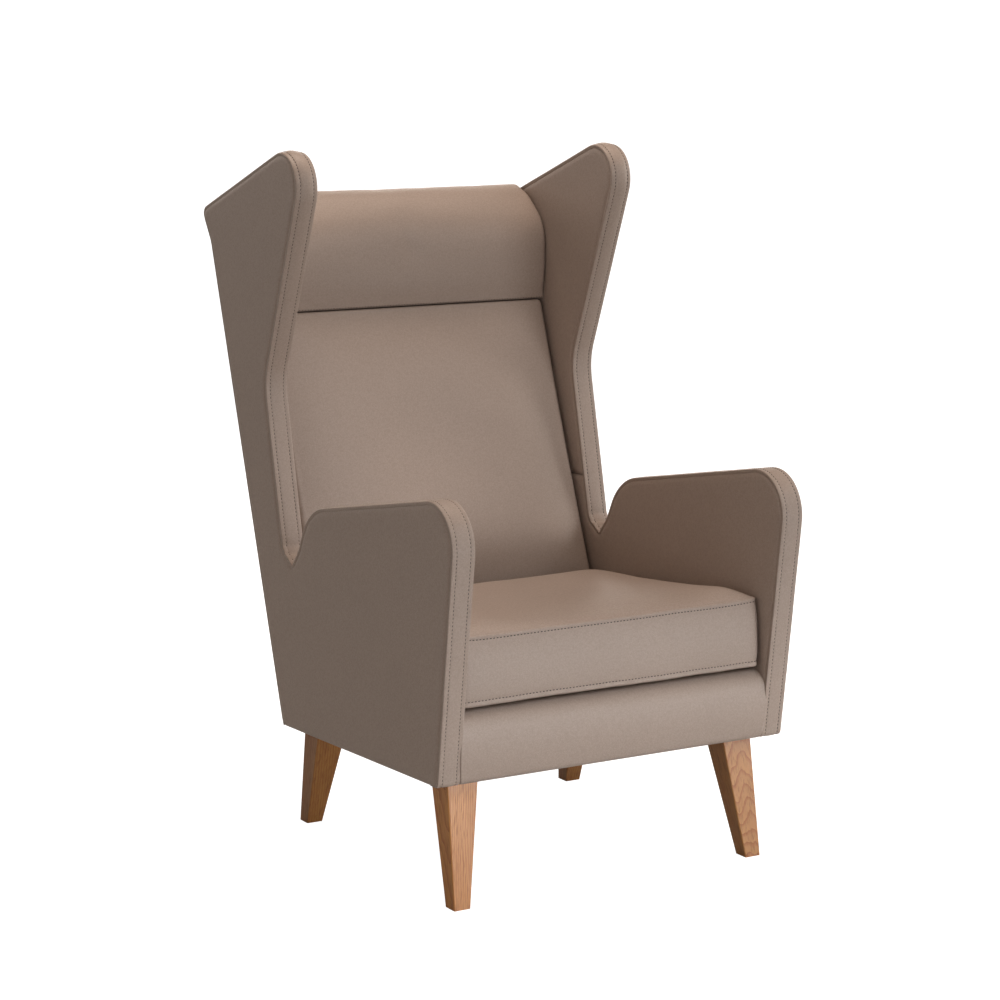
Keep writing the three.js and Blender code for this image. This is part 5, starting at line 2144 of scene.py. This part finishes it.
@dataclass
class Framework:
    """The wooden frame, straps, board, bolts and legs, which keep their CAD shapes."""

    finishes: Finishes

    front_lean = (18.5, -44.3)
    rear_lean = (9.8, 50.0)
    leg_height = 215.0
    # Each leg's oak: the pith's place beside the leg, its tilt, the rings' spacing and the tone; the rear
    # legs' low tones are painted shade from the seat above them.
    leg_oaks = {
        "leg_front_left": ((490.0, 420.0), 0.01, 4.2, 1.0),
        "leg_front_right": ((-296.0, 300.0), 0.07, 3.2, 0.78),
        "leg_rear_left": ((430.0, -300.0), 0.03, 4.0, 0.58),
        "leg_rear_right": ((-420.0, -300.0), 0.04, 4.6, 0.5),
    }

    def build(self) -> None:
        """Gives every carried-over node its material."""
        for name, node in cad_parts.items():
            material = self.material_for(name)
            if material is None:
                continue
            node.data.materials.clear()
            node.data.materials.append(material)
            log.info("%s: CAD node in %s", name, material.name)

    def material_for(self, name: str) -> bpy.types.Material | None:
        """The material of one CAD node, or None for a node that another piece stands for."""
        looks = self.finishes
        if name.startswith("leg_bolt"):
            return looks.zinc
        if name.startswith("leg_"):
            return self.leg_oak(name)
        across = ("front_rail", "rear_rail", "lower_back_rail", "lumbar_rail", "top_rail", "corner_block")
        starts = {
            across: looks.beech,
            ("side_rail", "upright"): looks.beech_upright,
            ("side_frame",): looks.plywood,
            ("seat_strap", "back_strap"): looks.webbing,
            ("back_board",): looks.hardboard,
        }
        for start, material in starts.items():
            if name.startswith(start):
                return material
        return None

    def leg_oak(self, name: str) -> bpy.types.Material:
        """Oak for one leg, with its grain along the leg and a pith of its own."""
        side = -1 if name.endswith("left") else 1
        lean = self.front_lean if "front" in name else self.rear_lean
        out = math.atan2(lean[0] * side, self.leg_height)
        forward = math.atan2(lean[1], self.leg_height)
        return Oak(f"oak_{name}", (out, forward), *self.leg_oaks[name]).make()


# The studio


@dataclass(frozen=True)
class SoftBox:
    """A rectangular soft light. Places are in metres."""

    name: str
    place: tuple[float, float, float]
    aim: tuple[float, float, float]
    size: tuple[float, float]
    power: float
    colour: tuple[float, float, float] = (1.0, 1.0, 1.0)
    spread_degrees: float = 180.0

    def hang(self) -> None:
        """Adds the light to the scene."""
        data = bpy.data.lights.new(self.name, "AREA")
        data.shape = "RECTANGLE"
        data.size, data.size_y = self.size
        data.energy = self.power
        data.color = self.colour
        data.spread = math.radians(self.spread_degrees)
        lamp = bpy.data.objects.new(self.name, data)
        lamp.location = self.place
        lamp.rotation_euler = (Vector(self.aim) - Vector(self.place)).to_track_quat("-Z", "Y").to_euler()
        lamp.visible_camera = False
        bpy.context.scene.collection.objects.link(lamp)


@dataclass
class Studio:
    """The camera of the photograph, a white sweep and soft lights."""

    camera_place = (-2.4513, -4.2257, 1.4606)
    camera_turn_degrees = (80.132, 0.0, -30.298)
    camera_lens = 97.72
    sensor = 36.0
    sweep_reach = 8.0
    sweep_cove = 1.5
    sweep_height = 6.0
    floor_shares = (0.06, 0.14, 0.25, 0.4, 0.6, 0.8, 1.0)
    sweep_sides = 64
    cove_steps = 8
    world_strength = 0.01
    world_colour = (1.0, 0.99, 0.98, 1.0)
    lights = (
        SoftBox("key", (1.1, -3.9, 3.4), (0.0, 0.0, 0.7), (2.4, 1.8), 52, (0.97, 1.0, 1.02)),
        SoftBox("overhead", (0.3, 0.2, 4.0), (0.0, 0.0, 0.5), (2.4, 2.4), 55, (1.0, 0.82, 0.68)),
        SoftBox("overhead_rear", (0.0, 0.9, 3.6), (0.0, 0.1, 1.0), (1.6, 1.2), 22, (1.0, 0.85, 0.74)),
        SoftBox("front_low", (0.7, -2.3, 0.3), (0.0, -0.4, 0.12), (2.0, 0.3), 2.6, (0.97, 1.0, 1.03), 45.0),
        SoftBox("front_fill", (-0.6, -3.4, 0.35), (0.0, -0.3, 1.15), (1.8, 0.4), 1.6, (1, 0.97, 0.95), 60.0),
        SoftBox("right", (4.2, -0.6, 1.9), (0.0, 0.0, 0.7), (2.6, 2.2), 80, (1.0, 0.94, 0.88)),
        SoftBox("left", (-3.9, -1.8, 1.7), (0.0, 0.0, 0.7), (2.6, 2.2), 14, (1.0, 0.84, 0.78)),
        SoftBox("rear_right", (1.8, 4.4, 2.4), (0.0, 0.3, 0.9), (2.6, 1.8), 46, (1.0, 0.92, 0.85)),
        SoftBox("rear_left", (-1.8, 4.4, 2.4), (0.0, 0.3, 0.9), (2.6, 1.8), 24, (1.0, 0.88, 0.8)),
    )

    def build(self) -> None:
        """Sets the camera, floor, lights and world."""
        scene = bpy.context.scene
        data = bpy.data.cameras.new("camera")
        data.lens = self.camera_lens
        data.sensor_width = self.sensor
        data.dof.use_dof = False
        camera = bpy.data.objects.new("camera", data)
        camera.location = self.camera_place
        camera.rotation_euler = [math.radians(angle) for angle in self.camera_turn_degrees]
        scene.collection.objects.link(camera)
        scene.camera = camera
        self.build_sweep()
        for light in self.lights:
            light.hang()
        world = bpy.data.worlds.new("studio_air")
        world.use_nodes = True
        background = world.node_tree.nodes["Background"]
        background.inputs["Color"].default_value = self.world_colour
        background.inputs["Strength"].default_value = self.world_strength
        scene.world = world
        scene.view_settings.view_transform = "Standard"

    def build_sweep(self) -> None:
        """The white sweep: a round floor that curves up into a wall, far outside every view's camera.

        Its glow shows it as white. The link to itself alone keeps it from being sampled as a lamp, and what
        still reaches the chair is an even, weak light.
        """
        cove = self.sweep_cove * MM_PER_METRE
        reach = self.sweep_reach * MM_PER_METRE
        outline = [(reach * share, 0.0) for share in self.floor_shares]
        for angle in np.linspace(0, math.pi / 2, self.cove_steps + 1)[1:]:
            outline.append((reach + cove * math.sin(angle), cove * (1 - math.cos(angle))))
        outline.append((reach + cove, self.sweep_height * MM_PER_METRE))
        sides = self.sweep_sides
        turns = np.arange(sides) / sides * math.tau
        circle = np.stack([np.cos(turns), np.sin(turns)], axis=1)
        rings = [with_third(radius * circle, height) for radius, height in outline]
        faces = strip_faces(len(rings), sides, around=True)
        faces.append(tuple(range(sides)))
        sweep = mesh_object("studio_sweep", np.concatenate(rings), faces)
        if sweep.data.polygons[-1].normal.z < 0:
            sweep.data.flip_normals()
        sweep.data.materials.append(StudioWhite("studio_white").make())
        own = bpy.data.collections.new("sweep_only")
        own.objects.link(sweep)
        sweep.light_linking.receiver_collection = own


def main() -> None:
    """Dresses the chair and sets up the studio."""
    finishes = Finishes()
    Framework(finishes).build()
    for side in Side:
        PaddedSide(side, finishes).build()
    FrontBorder(finishes).build()
    Deck(finishes).build()
    SeatCushion(finishes).build()
    InnerBack(finishes).build()
    HeadRoll(finishes).build()
    OuterBack(finishes).build()
    Underside(finishes).build()
    Studio().build()


if __name__ == "__main__":
    main()
